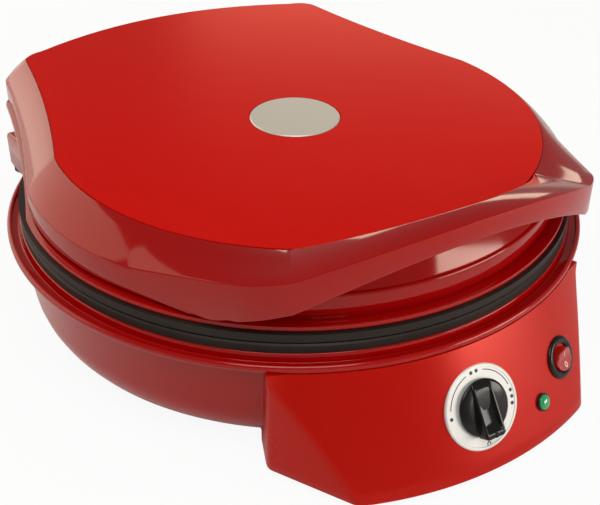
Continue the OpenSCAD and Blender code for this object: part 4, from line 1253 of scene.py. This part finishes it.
class PIZZA_OT_switch(bpy.types.Operator):
    """Builds the round rocker switch with its marks, and the lamp's dome"""
    bl_idname = "pizza.switch"
    bl_label = "Switch and lamp"

    CREST = 0.0064         # middle of the rocker above its pivot
    SLOPE = 0.26           # rise of both rocker faces towards their ends
    SOFT = 0.0006          # rounding of the valley between the two faces
    PIVOT = 0.004          # pivot below the panel face
    LEAN = 8.0             # tilt at rest in degrees
    CAN_RADIUS = 0.0097    # body of the switch behind the panel
    CAN_LOW = -0.013       # its inner end
    BEZEL_TOP = 0.0016
    WELL_FLOOR = -0.0032   # floor under the rocker
    LINE = 0.00045         # width of a printed line
    PRINT = 0.00006        # thickness of the print

    def face(self, y):
        """Height of the rocker's face above its pivot."""
        return self.CREST + self.SLOPE * (math.sqrt(y * y + self.SOFT ** 2) - self.SOFT)

    def bezel(self, matrix, c):
        """The switch's body with the ring round its rocker."""
        r = c.bezel_radius
        well = c.rocker_half + 0.0004
        can = rounded_profile([
            (0.0, self.CAN_LOW, 0), (self.CAN_RADIUS, self.CAN_LOW, 0.0006),
            (self.CAN_RADIUS, 0.0, 0), (r, 0.0, 0.0002), (r, 0.0007, 0.0005),
            (r - 0.0011, self.BEZEL_TOP, 0.0007), (well + 0.0012, self.BEZEL_TOP, 0.0005),
            (well, 0.0008, 0.0004), (well, self.WELL_FLOOR, 0), (0.0, self.WELL_FLOOR, 0)])
        turned("switch_bezel", can, 128, gloss_black(), "base", "switch_body",
               matrix=matrix)

    def cap(self, matrix, c):
        """The round rocker with its two sloped faces."""
        outline = oval(0, 0, c.rocker_half, c.rocker_half * 0.9, 72)
        rows = [[raised(p * 0.97, 0.0018) for p in outline], [raised(p, 0.0045) for p in outline]]
        # rings from the edge to the middle: share of the outline and depth under the face
        rings = [(1.0, 0.0008), (0.985, 0.0003), (0.95, 0.00005)]
        rings += [(k, 0.0) for k in (0.9, 0.75, 0.6, 0.45, 0.3, 0.15)]
        rows += [[raised(p * k, self.face(p.y * k) - drop) for p in outline] for k, drop in rings]
        points = [p for row in rows for p in row]
        size = len(outline)
        last = (len(rows) - 1) * size
        middle = len(points)
        points.append(Vector((0, 0, self.face(0))))
        faces = ring_faces(rows) + [list(range(size))]
        faces += [(last + (k + 1) % size, last + k, middle) for k in range(size)]
        piece_from("rocker_cap", on_panel(matrix, points), faces, red_lens(), "rocker", "rocker",
                   40.0)

    def marks(self, matrix):
        """The line and the zero printed on the rocker's faces."""
        stroke = [Vector((0, 0.0016 + 0.0026 * i / 6, 0)) for i in range(7)]
        zero = oval(0, -0.0031, 0.00095, 0.0013)
        points, faces = line_mesh([(ribbon(stroke, self.LINE, 0, self.PRINT), False),
                                   (ribbon(zero, self.LINE, 0, self.PRINT, True), True)])
        points = [Vector((p.x, p.y, self.face(p.y) + p.z)) for p in points]
        piece_from("rocker_marks", on_panel(matrix, points), faces, white_print(), "rocker", None)

    def lamp(self, matrix, c):
        """The clear dome of the pilot lamp with its rim."""
        t = c.lamp_radius
        dome = [(0.0, -0.0015, 0), (t, -0.0015, 0), (t, 0.00125, 0), (t + 0.0009, 0.00125, 0.0002),
                (t + 0.0008, 0.0019, 0.0003), (t * 0.85, 0.0027, 0.0004), (t * 0.4, 0.0031, 0.0004),
                (0.0, 0.0032, 0)]
        turned("lamp_dome", rounded_profile(dome), 64, green_lens(), "base", "lamp_lens",
               40.0, matrix)

    def execute(self, context):
        b, c = context.scene.pizza_base, context.scene.pizza_controls
        matrix = panel_matrix(b, c.switch_angle, c.switch_height)
        tilted = (matrix @ Matrix.Translation((0, 0, -self.PIVOT))
                  @ Matrix.Rotation(math.radians(self.LEAN), 4, "X"))
        self.bezel(matrix, c)
        self.cap(tilted, c)
        self.marks(tilted)
        self.lamp(panel_matrix(b, c.lamp_angle, c.lamp_height), c)
        return {"FINISHED"}


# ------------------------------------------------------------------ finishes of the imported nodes

class PIZZA_OT_finishes(bpy.types.Operator):
    """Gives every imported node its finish"""
    bl_idname = "pizza.finishes"
    bl_label = "Finishes"

    def execute(self, context):
        finishes = {
            satin_red: ["lid_top_plate"],
            brushed_silver: ["lid_disc"],
            dial_silver: ["dial_plate"],
            non_stick: ["upper_plate", "lower_plate"],
            bright_sheet: ["upper_heat_shield", "lower_heat_shield"],
            heater_sheath: ["upper_element", "lower_element"],
            zinc_steel: ["lower_plate_posts", "lower_plate_screws", "upper_plate_screws",
                         "hinge_pin_left", "hinge_pin_right", "thermostat_spindle"],
            hinge_black: ["hinge_ear_left", "hinge_ear_right", "lid_arm_left", "lid_arm_right"],
            rubber: ["foot_front_left", "foot_front_right", "foot_rear_left", "foot_rear_right"],
            matte_black: ["bottom_cover", "cord_gland"],
            gloss_black: ["knob", "switch_body", "lamp_body", "knob_pointer"],
            gloss_red: ["base_shell", "lid_shell"],
            ceramic: ["thermostat"],
            white_nylon: ["terminal_block", "thermal_fuse"],
            green_lens: ["lamp_lens"],
            red_lens: ["rocker"],
        }
        dressed = set()
        for maker, names in finishes.items():
            for name in names:
                dress(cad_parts[name], maker())
                dressed.add(name)
        missing = set(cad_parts) - dressed
        if missing:
            raise RuntimeError(f"no finish for {sorted(missing)}")
        return {"FINISHED"}


# ------------------------------------------------------------------ stage

FLOOR_HALF = 3                                  # half the width of the floor, in metres
FLOOR_GREY = 0.92
FLOOR_WHITE = 0.92                              # share of plain white that the camera sees there
GLOSS_SHARE = 0.08                              # how much of the white room a reflection sees
ROOM_COLOUR = (0.95, 0.93, 0.9)
ROOM_STRENGTH = 0.22
LAMP_TARGET = (0, CENTRE_Y, 0.08)
LAMPS = (                                       # place, width, height, power in watts, colour
    ("left_softbox", (-0.70, 0.82, 0.44), 1.7, 0.9, 8, (1, 0.88, 0.72)),
    ("rear_softbox", (0.80, 0.95, 0.34), 0.8, 0.2, 1.5, (1, 0.86, 0.66)),
    ("right_softbox", (0.78, -0.97, 0.27), 0.7, 0.3, 7, (1, 0.93, 0.87)),
    ("front_softbox", (-0.4, -0.7, 1.3), 0.9, 0.9, 11.5, (1, 0.98, 0.96)),
)
SENSOR_WIDTH = 36                               # in mm
IMAGE_WIDTH = 600                               # in pixels
FOCAL_PIXELS = 1021.9                           # focal length in the same pixels
CAMERA_TURN = (-31.045, 32.896, 0.629)          # azimuth, elevation and roll in degrees
CAMERA_AWAY = 0.5778                            # depth of the lid centre in metres
CAMERA_OFFSET = (-0.00291, 0.07696)             # lid centre right of and above the view's middle


def look_matrix(azimuth, elevation, roll, away, offset, target):
    """Camera matrix that sees the target at a depth, moved aside by the offset."""
    a, e, r = (math.radians(v) for v in (azimuth, elevation, roll))
    back = Vector((math.sin(a) * math.cos(e), -math.cos(a) * math.cos(e), math.sin(e)))
    right = Vector((math.cos(a), math.sin(a), 0))
    up = back.cross(right)
    side = math.cos(r) * right + math.sin(r) * up
    rise = -math.sin(r) * right + math.cos(r) * up
    matrix = Matrix((side, rise, back)).transposed().to_4x4()
    matrix.translation = target - side * offset[0] - rise * offset[1] + back * away
    return matrix


def softbox(name, place, width, height, power, rgb):
    """A soft rectangular lamp that looks at the object."""
    lamp = bpy.data.lights.new(name, "AREA")
    lamp.shape = "RECTANGLE"
    lamp.size = width
    lamp.size_y = height
    lamp.energy = power
    lamp.color = rgb
    box = linked(name, lamp)
    box.location = place
    aim = Vector(LAMP_TARGET) - Vector(place)
    box.rotation_euler = aim.to_track_quat("-Z", "Y").to_euler()


def white_to_camera(tree, colour_to_light, strength):
    """Shader pieces that look white to the camera and plain to everything else."""
    path = tree.nodes.new("ShaderNodeLightPath")
    plain = tree.nodes.new("ShaderNodeBackground")
    plain.inputs["Color"].default_value = (*colour_to_light, 1)
    plain.inputs["Strength"].default_value = strength
    white = tree.nodes.new("ShaderNodeBackground")
    white.inputs["Color"].default_value = (1, 1, 1, 1)
    mix = tree.nodes.new("ShaderNodeMixShader")
    seen = math_node(tree, "MAXIMUM", path.outputs["Is Camera Ray"],
                     path.outputs["Is Transmission Ray"])
    mirrored = math_node(tree, "MULTIPLY", path.outputs["Is Glossy Ray"], GLOSS_SHARE)
    tree.links.new(math_node(tree, "MAXIMUM", seen, mirrored), mix.inputs["Fac"])
    tree.links.new(plain.outputs[0], mix.inputs[1])
    tree.links.new(white.outputs[0], mix.inputs[2])
    return mix.outputs[0]


def pale_floor():
    """Pale floor that is nearly plain white to the camera and keeps the shadow."""
    material = bpy.data.materials.new("pale_floor")
    material.use_nodes = True
    tree = material.node_tree
    nodes, link = tree.nodes, tree.links.new
    shader = nodes["Principled BSDF"]
    shader.inputs["Base Color"].default_value = (FLOOR_GREY, FLOOR_GREY, FLOOR_GREY, 1)
    shader.inputs["Roughness"].default_value = 0.8
    white = nodes.new("ShaderNodeEmission")
    path = nodes.new("ShaderNodeLightPath")
    mix = nodes.new("ShaderNodeMixShader")
    link(math_node(tree, "MULTIPLY", path.outputs["Is Camera Ray"], FLOOR_WHITE), mix.inputs["Fac"])
    link(shader.outputs[0], mix.inputs[1])
    link(white.outputs[0], mix.inputs[2])
    link(mix.outputs[0], nodes["Material Output"].inputs["Surface"])
    return material


class PIZZA_OT_stage(bpy.types.Operator):
    """Sets up the floor, the lamps, the world and the camera"""
    bl_idname = "pizza.stage"
    bl_label = "Stage"

    def execute(self, context):
        scene = context.scene
        scene.view_settings.view_transform = "Standard"
        world = bpy.data.worlds.new("pale_room")
        world.use_nodes = True
        tree = world.node_tree
        tree.nodes.remove(tree.nodes["Background"])
        tree.links.new(white_to_camera(tree, ROOM_COLOUR, ROOM_STRENGTH),
                       tree.nodes["World Output"].inputs["Surface"])
        scene.world = world

        mesh = bpy.data.meshes.new("floor")
        corners = [(x * FLOOR_HALF, y * FLOOR_HALF, 0)
                   for x, y in ((-1, -1), (1, -1), (1, 1), (-1, 1))]
        mesh.from_pydata(corners, [], [(0, 1, 2, 3)])
        floor = linked("floor", mesh)
        dress(floor, pale_floor())

        for lamp in LAMPS:
            softbox(*lamp)

        camera = bpy.data.cameras.new("camera")
        camera.sensor_width = SENSOR_WIDTH
        camera.sensor_fit = "HORIZONTAL"
        camera.lens = FOCAL_PIXELS * SENSOR_WIDTH / IMAGE_WIDTH
        eye = linked("camera", camera)
        target = Vector((0, CENTRE_Y, PLATE_HIGH.z))
        eye.matrix_world = look_matrix(*CAMERA_TURN, CAMERA_AWAY, CAMERA_OFFSET, target)
        scene.camera = eye
        return {"FINISHED"}


# ------------------------------------------------------------------ sidebar and running order

BUILD_ORDER = ("lid", "bowl", "housing", "rear", "knob", "dial", "switch", "finishes", "stage")


class PIZZA_PT_panel(bpy.types.Panel):
    """Buttons that build the pieces one by one"""
    bl_idname = "PIZZA_PT_panel"
    bl_label = "Pizza maker"
    bl_space_type = "VIEW_3D"
    bl_region_type = "UI"
    bl_category = "Pizza maker"

    def draw(self, context):
        for name in BUILD_ORDER:
            self.layout.operator(f"pizza.{name}")
        for group in ("pizza_lid", "pizza_base", "pizza_controls", "pizza_finishes"):
            sizes = getattr(context.scene, group)
            box = self.layout.box()
            for prop in sizes.bl_rna.properties:
                if prop.identifier not in ("rna_type", "name"):
                    box.prop(sizes, prop.identifier)


GROUPS = {"pizza_lid": LidSizes, "pizza_base": BaseSizes, "pizza_controls": ControlSizes,
          "pizza_finishes": Finishes}
CLASSES = (*GROUPS.values(), PIZZA_OT_lid, PIZZA_OT_bowl, PIZZA_OT_housing, PIZZA_OT_rear,
           PIZZA_OT_knob, PIZZA_OT_dial, PIZZA_OT_switch, PIZZA_OT_finishes, PIZZA_OT_stage,
           PIZZA_PT_panel)


def register():
    for item in CLASSES:
        bpy.utils.register_class(item)
    for name, group in GROUPS.items():
        setattr(bpy.types.Scene, name, PointerProperty(type=group))


def unregister():
    for name in GROUPS:
        delattr(bpy.types.Scene, name)
    for item in reversed(CLASSES):
        bpy.utils.unregister_class(item)


def main():
    """Registers everything and builds the pieces in order."""
    register()
    for name in BUILD_ORDER:
        getattr(bpy.ops.pizza, name)()


if __name__ == "__main__":
    main()
